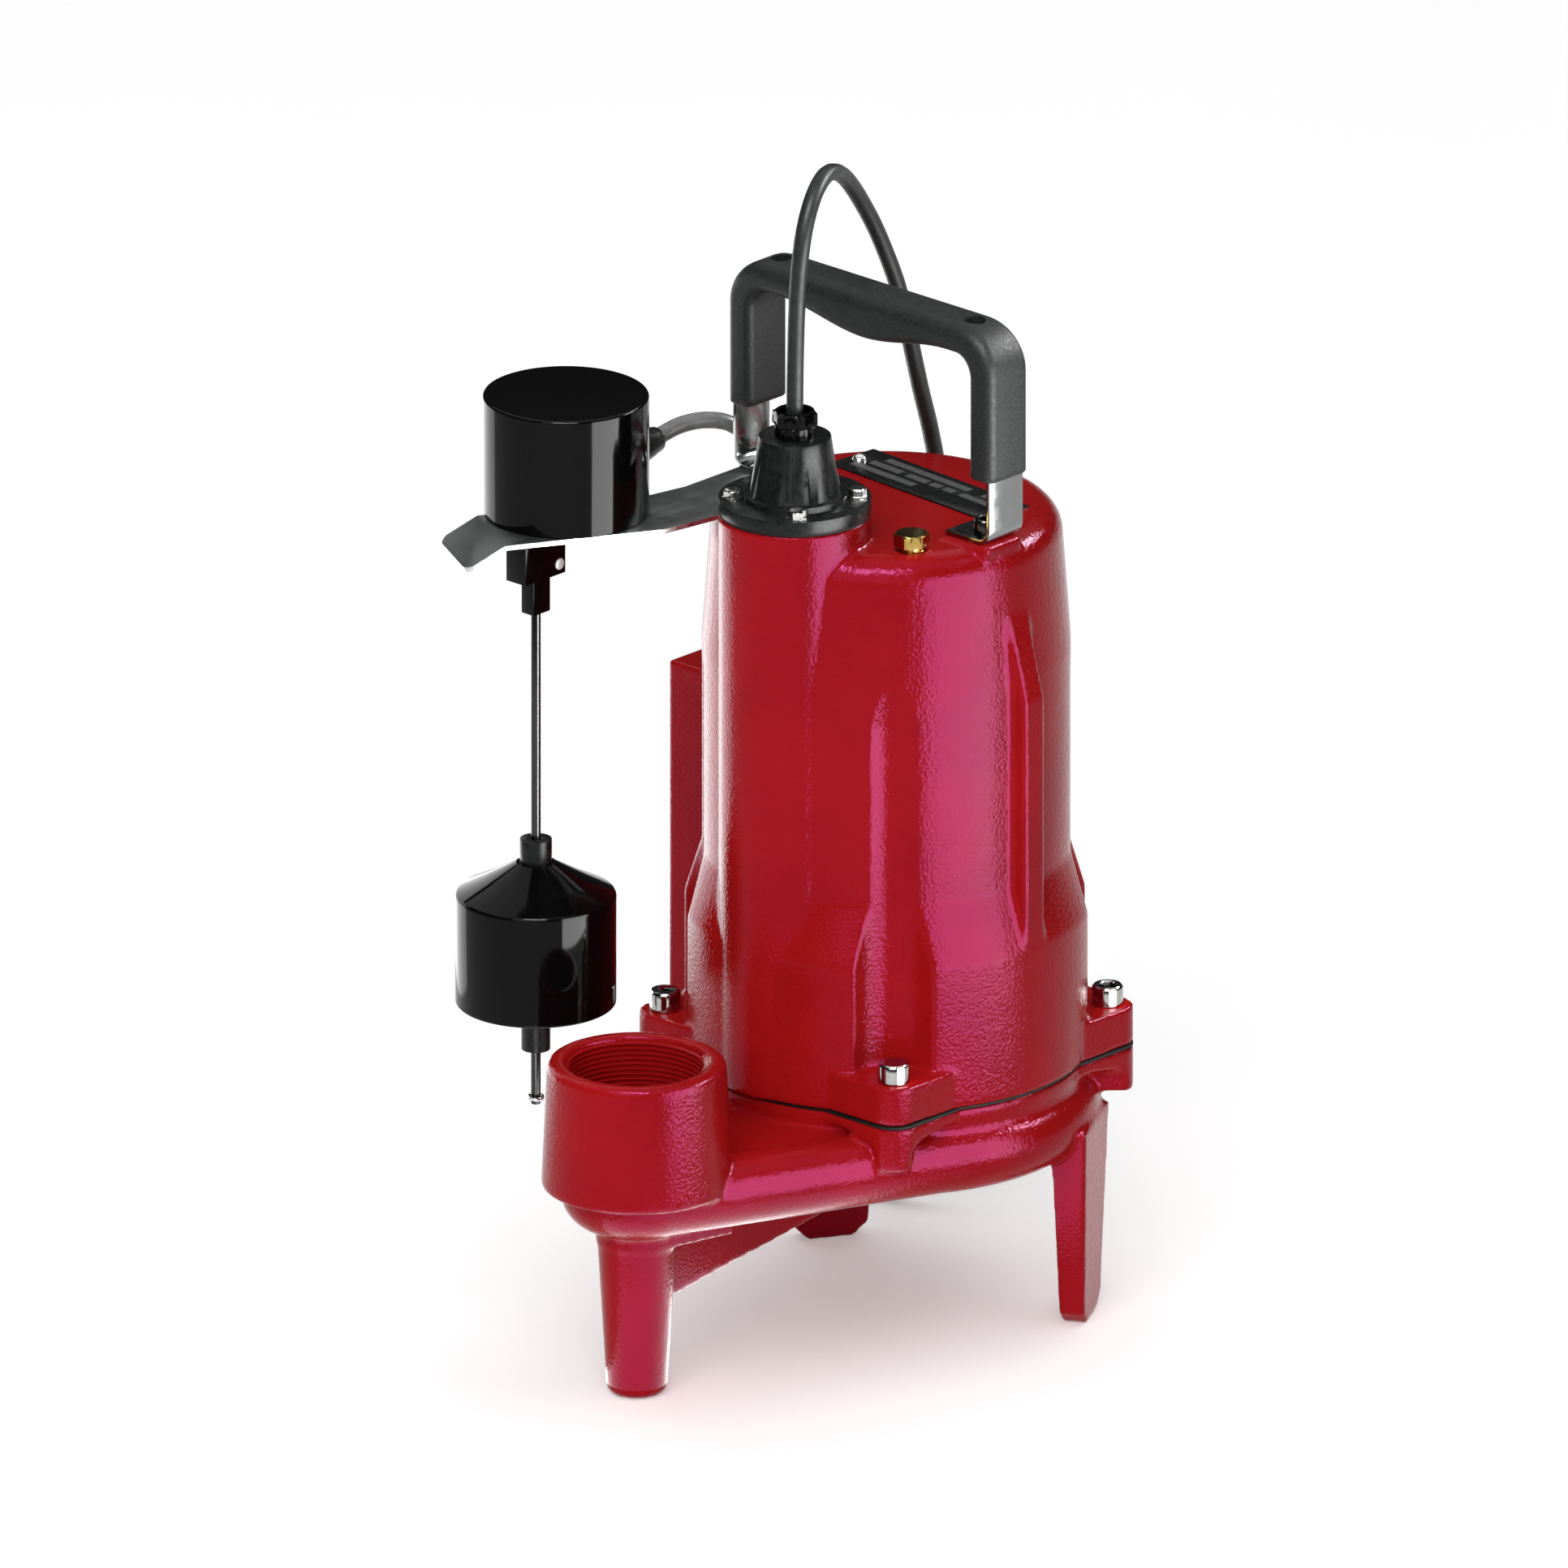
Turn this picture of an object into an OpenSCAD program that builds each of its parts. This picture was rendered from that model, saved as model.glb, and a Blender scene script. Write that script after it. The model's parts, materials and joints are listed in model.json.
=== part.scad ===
// Submersible sump and effluent pump on three cast legs, with a vertical float switch.
// Millimetres. +Z is up, the discharge stands towards -Y, the handle runs along X.
// Every sub-part is drawn about the motor axis and then shifted, so that the origin lies
// on the floor under the middle of the pump.

/* [Placement] */
// Motor axis, distance from the origin along X
axis_x = 16; // [0:0.5:40]
// Motor axis, distance from the origin along Y
axis_y = 51; // [30:0.5:70]

/* [Volute] */
// Height of the volute's top face above the floor
split_z = 111; // [106:0.5:120]
// Outer radius of the scroll
scroll_r = 88.5; // [86:0.5:94]
// Radius of the scroll's rounded edge
scroll_edge_r = 15.5; // [14:0.5:17]
// Height of the split plane above the middle of the scroll's rounded edge
scroll_drop = 23; // [21:0.5:26]
// Wall of the volute under the impeller
volute_wall = 7; // [5:0.5:9]
// Radius of the pump chamber
chamber_r = 76; // [72:0.5:78]
// Radius of the opening that the impeller goes in through
mouth_r = 64; // [62:0.5:66]
// Radius of the volute's flange between the bolt lugs
flange_r = 83; // [80:0.5:86]
// Thickness of the volute's flange
flange_t = 11; // [9:0.5:13]
// Diameter of the suction inlet
inlet_d = 60; // [50:1:66]

/* [Discharge] */
// Distance from the motor axis to the discharge axis
discharge_reach = 151; // [145:1:160]
// Height of the discharge boss above the split plane
discharge_rise = 34; // [28:1:45]
// Radius of the discharge boss at its rim
discharge_rim_r = 37.2; // [35:0.2:40]
// Radius of the discharge boss at its base
discharge_base_r = 39.5; // [38:0.5:42]
// Mean diameter of the internal pipe thread
thread_d = 58.4; // [56:0.1:60]
// Length of the internal pipe thread
thread_l = 32; // [24:1:36]

/* [Legs] */
// Radius of the circle that the two rear legs stand on
leg_circle_r = 82; // [78:0.5:85]
// Radial thickness of a rear leg at its foot
leg_foot_t = 10.5; // [9:0.5:13]
// Radial thickness of a rear leg at its top
leg_top_t = 15; // [13:0.5:17]
// Width of a rear leg at its foot
leg_foot_w = 32; // [26:1:36]
// Width of a rear leg at its top
leg_top_w = 44; // [38:1:48]
// Diameter of the front leg at its foot
front_foot_d = 25; // [20:0.5:28]
// Diameter of the front leg at its top
front_top_d = 33; // [30:0.5:38]
// Thickness of the web behind the front leg
web_t = 8; // [6:0.5:12]

/* [Flange bolts] */
// Radius of the bolt circle
bolt_circle_r = 91.4; // [90:0.2:94]
// Diameter of a bolt's shank
bolt_d = 8; // [6:1:10]
// Diameter of a bolt's socket head
bolt_head_d = 13; // [12:0.5:14]
// Height of a bolt's socket head
bolt_head_h = 8.5; // [7:0.5:10]
// Radius of a bolt lug's nose
lug_r = 10.6; // [9:0.2:12]
// Height of a lug on the motor housing
lug_h = 16.6; // [14:0.2:20]
// Height of a lug on the volute
volute_lug_h = 19; // [16:0.5:22]
// Thickness of the flange gasket
gasket_t = 1; // [0.6:0.1:2]

/* [Motor housing] */
// Height of the motor housing, without its cord tower
housing_h = 237.5; // [225:0.5:260]
// Radius of the skirt at the bottom of the housing
skirt_r = 84.5; // [82:0.5:88]
// Height of the skirt
skirt_h = 63; // [55:1:70]
// Height of the flare between the skirt and the barrel
flare_h = 25; // [18:1:32]
// Radius of the barrel
barrel_r = 76.5; // [75:0.5:80]
// Height of the tapered crown above the barrel
crown_h = 59.5; // [50:0.5:66]
// Radius of the crown under its rounded edge
crown_r = 73; // [71:0.5:75]
// Radius of the crown's rounded edge
crown_edge_r = 12; // [8:0.5:14]
// Wall of the motor housing
housing_wall = 7; // [5:0.5:8]
// Radius of the tool groove above each flange bolt
groove_r = 18; // [16:0.5:19]
// Height over which a tool groove runs out at its top
groove_tip_h = 22; // [16:1:30]
// Width of the upright rib on the barrel, under the handle's bare foot
rib_w = 12; // [8:0.5:16]
// Height over which that rib runs out on the crown
rib_tip_h = 33; // [20:1:40]
// Distance from the motor axis to the outer face of the capacitor pocket
pocket_reach = 101; // [98:0.5:106]
// Width of the capacitor pocket
pocket_w = 48; // [40:1:54]
// Height of the capacitor pocket
pocket_h = 150; // [130:1:165]

/* [Cord entry] */
// Distance from the motor axis to the cord tower's axis
tower_reach = 55.3; // [53:0.1:58]
// Radius of the cord tower
tower_r = 31.5; // [30:0.5:33]
// Height of the cord tower above the housing's top
tower_rise = 11; // [6:0.5:16]
// Radius of the circle of cap screws
cap_screw_circle_r = 26; // [25:0.25:27]
// Thickness of the cap's flange
cap_flange_t = 5.5; // [4:0.5:8]
// Radius of the cap's cone at its foot
cap_foot_r = 19; // [17:0.5:21]
// Radius of the cap's cone at its top
cap_top_r = 15; // [13:0.5:17]
// Height of the cap's cone
cap_cone_h = 27; // [20:1:34]
// Across-corners radius of the gland nut
gland_r = 9.65; // [9:0.05:11]
// Height of the gland nut
gland_h = 11; // [8:0.5:14]
// Diameter of the power cord
cord_d = 7.2; // [6.8:0.1:7.4]

/* [Handle] */
// Distance of the handle's middle from the motor axis, along Y
handle_y = -5; // [-7:0.5:-3]
// Width across the strap's outer faces
strap_span = 144.8; // [142:0.2:147]
// Width of the strap
strap_w = 20; // [16:0.5:22]
// Thickness of the strap
strap_t = 2; // [1.5:0.1:3]
// Length of a strap's foot
strap_foot_l = 23; // [20:0.5:26]
// Height of the grip's top above the housing's top
grip_rise = 95.5; // [88:0.5:105]
// Width across the grip's outer faces
grip_span = 149; // [148:0.5:153]
// Width of the grip, front to back
grip_w = 24; // [23:0.5:28]
// Thickness of the grip's legs and of the ends of its bar
grip_t = 13; // [10:0.5:15]
// Height of the grip, from its lower ends to its top
grip_h = 65; // [58:0.5:72]
// Depth of the grip's rounded belly below the bar
grip_belly = 6.5; // [4:0.5:9]

/* [Float switch] */
// Thickness of the bracket's sheet
bracket_t = 2; // [1.5:0.1:3]
// Radius of the switch housing
switch_r = 34.5; // [32:0.5:36]
// Height of the switch housing
switch_h = 51.5; // [45:0.5:60]
// Wall of the switch housing
switch_wall = 3; // [2:0.5:4]
// Width of the rod's guide block
yoke_w = 11; // [10.5:0.1:13]
// Depth of the rod's guide block
yoke_l = 24; // [22:0.5:27]
// Height of the rod's guide block
yoke_h = 22; // [20:0.5:26]
// Diameter of the float rod
rod_d = 4.1; // [3.8:0.1:4.5]
// Length of the float rod below its coupler
rod_l = 216; // [205:1:225]
// Diameter of the float
float_d = 65.9; // [60:0.5:70]
// Height of the float's straight wall
float_wall_h = 48; // [40:1:54]
// Height of the float's cone
float_cone_h = 13; // [10:0.5:18]
// Height of the float's bottom above the floor
float_z = 140.5; // [132:0.5:146]
// Diameter of the cable of the float switch
cable_d = 7; // [6.6:0.1:7.2]

/* [Motor] */
// Diameter of the shaft
shaft_d = 17; // [15:0.5:18]
// Outer diameter of a ball bearing
bearing_d = 40; // [38:0.5:42]
// Width of a ball bearing
bearing_h = 12; // [10:0.5:14]
// Radius of the rotor
rotor_r = 38; // [34:0.5:42]
// Length of the rotor and stator stacks
stack_h = 90; // [70:1:100]
// Thickness of the bearing plate
plate_t = 14; // [12:0.5:16]
// Radius of the impeller
impeller_r = 60; // [54:0.5:61]
// Number of impeller vanes
vane_count = 6; // [4:1:8]

/* [Clearances] */
// Radial clearance of a running fit
run_gap = 0.05; // [0.02:0.01:0.09]
// Radial clearance of pieces that are pushed together
push_gap = 0.1; // [0.05:0.01:0.2]
// Clearance of loose pieces
loose_gap = 0.3; // [0.2:0.05:0.4]

/* [Hidden] */
$fn = 64;

red = [0.62, 0.05, 0.09];
black = [0.06, 0.06, 0.065];
charcoal = [0.16, 0.16, 0.165];
steel = [0.72, 0.73, 0.74];
dark_steel = [0.4, 0.41, 0.43];
brass = [0.72, 0.56, 0.25];
copper = [0.7, 0.4, 0.22];

bolt_angles = [45, 135, 225, 315];

// Heights of the main castings
housing_z = split_z + gasket_t;
top_z = housing_z + housing_h;
barrel_z = housing_z + skirt_h + flare_h;
crown_z = top_z - crown_h;
scroll_z = split_z - scroll_drop;
chamber_z = scroll_z - scroll_edge_r + volute_wall;
volute_lug_z = split_z - volute_lug_h;
lug_top_z = housing_z + lug_h;
discharge_z = split_z + discharge_rise;
tower_z = top_z + tower_rise;
cavity_r = barrel_r - housing_wall;
ceiling_z = top_z - housing_wall;

// Scroll: the straight edge runs along the tangent from the discharge to the scroll
scroll_mid_r = scroll_r - scroll_edge_r;
scroll_end_r = discharge_base_r - 8;
discharge_mid_r = scroll_end_r - scroll_edge_r;
tangent_angle = asin((scroll_mid_r - discharge_mid_r) / discharge_reach);
tangent_l = sqrt(discharge_reach^2 - (scroll_mid_r - discharge_mid_r)^2);
run_r = scroll_edge_r - 0.3;
run_fill = 2 * scroll_edge_r - 1.2;
passage_top = split_z - flange_t - 1;
elbow_pad_z = scroll_z - scroll_edge_r - 6.5;
elbow_pad_r = 17;
leg_top_z = scroll_z - 1;
elbow_y = discharge_reach - discharge_base_r - 3.5;
lug_plate_t = 5.2;
lug_foot_w = 13;
lug_wing = 27;
passage_r = thread_d / 2 - 3;
passage_w = 2 * discharge_mid_r + 6;

// Bolts
bolt_hole_r = bolt_d / 2 + loose_gap;
groove_end_z = crown_z - 12;
groove_tip_r = groove_r - 3;
rib_root_x = barrel_r - 15;
rib_inset = 0.4;
rib_drop = 7;

// Cord cap, in heights above the tower
seal_t = 1;
cap_z = tower_z + seal_t;
cap_r = tower_r + 0.1;
cap_disc_h = 2.5;
cap_disc_r = cap_screw_circle_r - 4;
cap_cone_z = cap_z + cap_flange_t;
gland_z = cap_cone_z + cap_cone_h;
cord_hole_r = cord_d / 2 + loose_gap;
tower_bore_r = 21;
tower_bore_h = 50;
cap_screw_d = 4;
cap_screw_af_r = 3.7;
cap_screw_head_h = 3;
cap_screw_reach = 11;
cap_roof_t = 13;
grommet_r = gland_r + 2;
grommet_h = 10;
cap_fin_count = 8;

// Handle
pad_z = top_z + bracket_t;
strap_depth = 6;
strap_top_z = top_z + grip_rise - strap_depth;
strap_foot_r = 7;
handle_screw_d = 6.35;
handle_screw_head_d = 9.5;
handle_screw_head_h = 6;
foot_pad_l = 26;
foot_pad_inset = 1;
handle_screw_x = strap_span / 2 - strap_t - strap_foot_l / 2 + 1.5;
handle_screw_hole_r = handle_screw_d / 2 + push_gap;
grip_z = top_z + grip_rise - grip_h;
grip_corner_r = 20;
grip_edge_r = 7;
strap_bend_r = grip_corner_r - strap_depth;
grip_hole_d = 9;
grip_hole_inset = 17.6;
grip_hole_x = strap_span / 2 - grip_hole_inset;

// Oil plug and nameplate on the housing's top
plug_at = [45, -33];
oil_plug_d = 12;
oil_plug_corner_r = 7.5;
nameplate_at = [-1, 27];
nameplate_turn = -4;
nameplate_size = [94, 25, 0.8];
nameplate_pin_d = 3;
nameplate_pin_x = nameplate_size[0] / 2 - 5;

// Float switch bracket: the arm runs along -Y, and the platform turns off it
platform_turn = -30;
switch_at = [-86.4, -101.3];
bracket_z = top_z;
bracket_top_z = top_z + bracket_t;
arm_left_x = -70.5;
arm_right_x = -37;
arm_back_y = handle_y + strap_w / 2;
bend_d = 36.5;
platform_left = -5.5;
platform_right = 33.4;
tail_l = 19;
tail_drop = 28;
tail_corner_r = 7;
bracket_screw_d = 4;
bracket_screw_l = 6;
bracket_screw_at = [24, 15];

// Float rod, below the guide block
rod_at = [-86.7, -119.1];
yoke_z = bracket_z - yoke_h;
yoke_pin_d = 5;
yoke_pin_y = yoke_l / 2 - 3.5;
yoke_pin_z = yoke_z + 4.5;
yoke_roof = 2;
yoke_pin_out = 0.4;
hook_z = yoke_pin_z + yoke_pin_d / 2 + loose_gap;
hook_y = yoke_l / 2 - 1.6;
coupler_size = [7, 10];
coupler_z = yoke_z - 15.5;
coupler_top_z = bracket_z - 12;
magnet_h = 3;
rod_end_z = coupler_z - rod_l;
rod_seat = 10;
clip_z = rod_end_z + 2;
clip_t = 1.5;
clip_d = 7;
sleeve_d = 12;
sleeve_top_d = 13.4;
float_drop = 20.5;
sleeve_bottom_z = clip_z + clip_t + float_drop;
float_cone_z = float_z + float_wall_h;
float_top_z = float_cone_z + float_cone_h;
sleeve_collar_h = 11;

// Gland where the cable leaves the switch housing
switch_gland_turn = 97;
switch_gland_z = bracket_top_z + 13;
switch_gland_l = 28;

// Motor stack on the shaft
bearing_r = bearing_d / 2;
seal_d = 34;
seal_h = 14;
lower_bearing_z = split_z + plate_t + 6;
upper_bearing_z = ceiling_z - bearing_h;
hub_r = bearing_r + 7;
stack_rise = 84;
stack_z = housing_z + stack_rise;
winding_inset = 8;
winding_clear = 7;
winding_h = 22;
air_gap = 0.6;
impeller_back_z = split_z - 4;
impeller_back_t = 5;
vane_z = chamber_z + 4.5;
impeller_hub_r = 15;
impeller_hub_z = vane_z - 2;
vane_t = 4.5;
vane_arc_r = impeller_r / 2 - 1;
nut_h = 9;
nut_r = 9;
stub_d = 9.5;
stub_z = 45;
capacitor_d = 27;
capacitor_h = 62;
capacitor_x = pocket_reach - 4 - capacitor_d / 2 - loose_gap;

// Free stretch of the power cord, from the gland over the handle and down behind the housing
power_route = [
  [0, -55.3, 396], [0, -55.3, 406], [0.5, -55.6, 424], [2.3, -56.5, 452], [3.1, -55.4, 471.6],
  [2.1, -51, 486.1], [-1, -42, 496.7], [-6.1, -29.5, 500.2], [-11.5, -16.5, 496], [-16.2, -4.6, 487],
  [-20.2, 8.3, 472.6], [-22.1, 19.3, 456.1], [-23.2, 31.6, 431.1], [-25.3, 41.2, 405], [-29, 51.7, 379.3],
  [-34.6, 64.1, 355], [-39.2, 73.7, 329.3], [-43.9, 83.8, 274.5], [-47, 89, 220], [-49, 93, 160],
  [-51, 96, 100], [-53, 97, 60], [-58, 96, 30], [-72, 91, 10], [-92, 84, 4.5], [-112, 80.6, 5],
  [-124, 80, 5.3], [-132, 80, 5.3]
];
// Free stretch of the switch cable, from its gland down behind the housing
switch_route = [
  [-93.1, -46.3, 364.5], [-93.9, -40, 364.5], [-94.3, -34, 365.5], [-92.5, -25, 367.5],
  [-88, -16, 368.3], [-83.5, -6, 365.5], [-81, 4, 357], [-80.8, 11, 344], [-82, 20, 325],
  [-85.5, 32, 295], [-89.5, 42, 260], [-92, 47, 200], [-93, 50, 140], [-94, 54, 96],
  [-98, 62, 66], [-106, 71, 48], [-117, 77.5, 39.5], [-126, 80, 37.5], [-132, 80, 37.5]
];
// Tails from the coils to the plugs
power_tail_route = [
  [-181.1, 100.4, 28.4], [-184.6, 103.9, 28.4], [-190.5, 109.9, 27.8], [-197, 117.2, 25.6], [-202.3, 125, 22],
  [-205.8, 133.6, 18], [-206.8, 142, 15], [-205.6, 149.4, 13.5], [-203.5, 155, 13.2]
];
switch_tail_route = [
  [-190, 138.1, 60], [-190, 143.1, 60], [-188.4, 151.6, 60.4], [-182.6, 161.6, 62], [-173, 170.3, 64.6],
  [-160.4, 176.3, 68.2], [-146.5, 178.3, 72], [-132.5, 176, 75.3], [-124.2, 170.5, 76]
];

// Coils: loops spiral in and out again in layers about one centre
coil_at = [-140, 130];
coil_r = 50;
coil_layers = 4;
coil_lead = 8;
coil_start = -90;
coil_gap = 0.5;
loop_rings = 24;
power_turns = 9.125;
switch_turns = 9.25;
power_coil_z = 5.3;
switch_coil_z = 37.5;
tie_t = 1.2;
tie_w = 12;
tie_gap = 0.4;

// Plugs on the ends of the tails
plug_l = 36;
plug_w = 25;
plug_t = 24;
blade_size = [17, 6.3, 1.5];
blade_y = 6.35;

module place() translate([axis_x, axis_y, 0]) children();

// Shared shapes

module at_bolts() for (a = bolt_angles) rotate(a) translate([bolt_circle_r, 0]) children();

module rounded_square(w, h, r) {
  translate([-w / 2 + r, 0]) square([w - 2 * r, h]);
  translate([-w / 2, r]) square([w, h - 2 * r]);
  for (x = [-1, 1], y = [r, h - r]) translate([x * (w / 2 - r), y]) circle(r);
}

// One lug along +X, with straight flanks from its nose to pointed tips on the skirt
module lug_shape() {
  flank_r = lug_r - 0.1;
  translate([bolt_circle_r, 0]) circle(lug_r);
  polygon([
    [flange_r - 25, -lug_wing], [flange_r - 3.5, -lug_wing],
    [bolt_circle_r + flank_r * cos(45), -flank_r * sin(45)],
    [bolt_circle_r + flank_r * cos(45), flank_r * sin(45)],
    [flange_r - 3.5, lug_wing], [flange_r - 25, lug_wing]
  ]);
}

module lug_outline() for (a = bolt_angles) rotate(a) lug_shape();

module flange_outline() {
  circle(flange_r);
  lug_outline();
}

// Drawn in the X-Z plane and extruded evenly to both sides of Y = 0
module upright(w) rotate([90, 0, 0]) translate([0, 0, -w / 2]) linear_extrude(w) children();

module hex(r, h) cylinder(r = r, h = h, $fn = 6);

// Swept tubes

function unit(v) = v / norm(v);

function spline(a, b, c, d, t) =
  ((b * 2) + (c - a) * t + (a * 2 - b * 5 + c * 4 - d) * t^2 + (b * 3 - a - c * 3 + d) * t^3) / 2;

function smooth_path(p, steps) = concat(
  [for (i = [0 : len(p) - 2], k = [0 : steps - 1])
    spline(p[max(i - 1, 0)], p[i], p[i + 1], p[min(i + 2, len(p) - 1)], k / steps)],
  [p[len(p) - 1]]
);

function path_length(p) = [for (i = [1 : len(p) - 1]) norm(p[i] - p[i - 1])] * [for (i = [1 : len(p) - 1]) 1];

function tangents(p) = [for (i = [0 : len(p) - 1]) unit(p[min(i + 1, len(p) - 1)] - p[max(i - 1, 0)])];

function across(v, t) = unit(v - t * (v * t));

function side_vectors(t) = [
  for (
    i = 0, v = across([0.3, 0.2, 0.93], t[0]);
    i < len(t);
    i = i + 1, v = i < len(t) ? across(v, t[i]) : v
  ) v
];

function tube_points(p, r, sides) = let (t = tangents(p), u = side_vectors(t)) [
  for (i = [0 : len(p) - 1], k = [0 : sides - 1])
    p[i] + r * (u[i] * cos(360 * k / sides) + cross(t[i], u[i]) * sin(360 * k / sides))
];

module tube(p, r, sides) {
  last = (len(p) - 1) * sides;
  polyhedron(tube_points(p, r, sides), concat(
    [for (i = [0 : len(p) - 2], k = [0 : sides - 1]) let (a = i * sides, n = (k + 1) % sides)
      [a + k, a + sides + n, a + n]],
    [for (i = [0 : len(p) - 2], k = [0 : sides - 1]) let (a = i * sides, n = (k + 1) % sides)
      [a + k, a + sides + k, a + sides + n]],
    [for (k = [1 : sides - 2]) [0, k, k + 1]],
    [for (k = [1 : sides - 2]) [last, last + k + 1, last + k]]
  ));
}

// Coils: s counts turns from the start of the lowest layer

function ease(x) = let (c = max(0, min(1, x))) c * c * (3 - 2 * c);

function coil_radius(s, turns, pitch) =
  let (n = turns / coil_layers, k = min(floor(s / n), coil_layers - 1), f = s / n - k)
  coil_r - n * pitch * (k % 2 == 0 ? f : 1 - f);

function coil_height(s, turns, pitch) =
  let (n = turns / coil_layers, climbs = [for (j = [1 : coil_layers - 1]) ease((s - j * n) * 2 + 0.5)])
  pitch * (climbs * [for (c = climbs) 1]);

function coil_point(s, turns, z, pitch) =
  let (a = coil_start - 360 * s, r = coil_radius(s, turns, pitch))
  [coil_at[0] + r * cos(a), coil_at[1] + r * sin(a), z + coil_height(s, turns, pitch)];

function coil_heading(s) = let (a = coil_start - 360 * s) [sin(a), -cos(a), 0];

function coil_path(turns, z, d) =
  let (pitch = d + coil_gap, rings = round(turns * loop_rings))
  concat(
    [coil_point(0, turns, z, pitch) - coil_heading(0) * coil_lead],
    [for (i = [0 : rings]) coil_point(turns * i / rings, turns, z, pitch)],
    [coil_point(turns, turns, z, pitch) + coil_heading(turns) * coil_lead]
  );

// Least gap between loops of a coil, measured between points more than half a turn apart
function coil_least_gap(p, d) =
  min([for (i = [0 : len(p) - 1], j = [i + loop_rings / 2 : 1 : len(p) - 1]) norm(p[i] - p[j])]) - d;

echo(power_coil_least_gap = coil_least_gap(coil_path(power_turns, power_coil_z, cord_d), cord_d));
echo(switch_coil_least_gap = coil_least_gap(coil_path(switch_turns, switch_coil_z, cable_d), cable_d));
echo(power_cord_length = path_length(smooth_path(power_route, 4))
  + path_length(coil_path(power_turns, power_coil_z, cord_d))
  + path_length(smooth_path(power_tail_route, 4)));
echo(switch_cable_length = path_length(smooth_path(switch_route, 4))
  + path_length(coil_path(switch_turns, switch_coil_z, cable_d))
  + path_length(smooth_path(switch_tail_route, 4)));

// Volute casting: scroll, discharge, legs and flange in one piece

// Boss under a lug: as deep as the lug, and narrower towards its foot
module lug_boss() intersection() {
  translate([0, 0, volute_lug_z]) linear_extrude(volute_lug_h - lug_plate_t / 2) lug_shape();
  translate([flange_r - 24, 0, 0]) rotate([90, 0, 90]) linear_extrude(50) polygon([
    [-lug_foot_w / 2, volute_lug_z - 1], [lug_foot_w / 2, volute_lug_z - 1],
    [lug_foot_w / 2 + 1, split_z - 2 * lug_plate_t], [lug_foot_w / 2 + 5, split_z - 1.45 * lug_plate_t],
    [lug_wing - 9, split_z - 1.1 * lug_plate_t], [lug_wing - 3, split_z - 0.6 * lug_plate_t],
    [lug_wing - 3, split_z + 1], [-lug_wing + 3, split_z + 1],
    [-lug_wing + 3, split_z - 0.6 * lug_plate_t], [-lug_wing + 9, split_z - 1.1 * lug_plate_t],
    [-lug_foot_w / 2 - 5, split_z - 1.45 * lug_plate_t], [-lug_foot_w / 2 - 1, split_z - 2 * lug_plate_t]
  ]);
}

module scroll() {
  rotate_extrude() {
    translate([scroll_mid_r, scroll_z]) circle(scroll_edge_r);
    translate([0, scroll_z - scroll_edge_r]) square([scroll_mid_r, 2 * scroll_edge_r]);
  }
  translate([0, 0, split_z - flange_t]) cylinder(r = flange_r - 0.5, h = flange_t - 0.5);
  translate([0, 0, split_z - lug_plate_t]) linear_extrude(lug_plate_t) flange_outline();
  // Bosses under the flange's lugs
  for (a = bolt_angles) rotate(a) lug_boss();
  // Straight runs of the scroll's edge to the discharge, and the floor and roof between them
  translate([0, -discharge_reach, scroll_z]) rotate(-tangent_angle) translate([discharge_mid_r, 0, 0])
    rotate([-90, 0, 0]) cylinder(r = run_r, h = tangent_l - 5);
  translate([-discharge_mid_r, -discharge_reach, scroll_z]) rotate([-90, 0, 0])
    cylinder(r = run_r, h = discharge_reach - scroll_mid_r / 2);
  translate([0, 0, scroll_z - run_fill / 2]) linear_extrude(run_fill) polygon([
    [-discharge_mid_r, -discharge_reach],
    [discharge_mid_r * cos(tangent_angle), -discharge_reach - discharge_mid_r * sin(tangent_angle)],
    [scroll_mid_r * cos(tangent_angle), -scroll_mid_r * sin(tangent_angle)],
    [-discharge_mid_r, 0]
  ]);
}

module discharge_boss() translate([0, -discharge_reach, 0]) rotate_extrude() {
  rim_edge = 2;
  base_z = scroll_z + 2.5;
  polygon([
    [0, base_z], [discharge_base_r - 1, base_z], [discharge_base_r, base_z + 1],
    [discharge_rim_r, discharge_z - rim_edge], [discharge_rim_r - rim_edge, discharge_z], [0, discharge_z]
  ]);
  // Rounded end of the scroll under the boss
  intersection() {
    translate([discharge_mid_r, scroll_z]) circle(scroll_edge_r);
    translate([0, scroll_z - 2 * scroll_edge_r]) square([discharge_base_r, 4 * scroll_edge_r]);
  }
  translate([0, scroll_z - scroll_edge_r]) square([discharge_mid_r, 2 * scroll_edge_r]);
}

module front_leg() {
  translate([0, -discharge_reach, 0]) rotate_extrude() polygon([
    [0, 0], [front_foot_d / 2 - 2, 0], [front_foot_d / 2, 2], [front_top_d / 2, elbow_pad_z + 2],
    [0, elbow_pad_z + 2]
  ]);
  // Web from the front leg back to the rim of the inlet
  rotate([90, 0, -90]) translate([0, 0, -web_t / 2]) linear_extrude(web_t) polygon([
    [discharge_reach, 35], [inlet_d / 2 + 8, 50], [inlet_d / 2 + 8, scroll_z - scroll_edge_r + 2],
    [discharge_reach, scroll_z - scroll_edge_r + 2]
  ]);
  // Flat pad under the discharge elbow
  translate([0, -discharge_reach, elbow_pad_z]) linear_extrude(scroll_z - elbow_pad_z) {
    circle(elbow_pad_r);
    polygon([[-elbow_pad_r + 1.5, -6], [elbow_pad_r - 1.5, -6], [24.5, 33], [-24.5, 33]]);
  }
}

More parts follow.
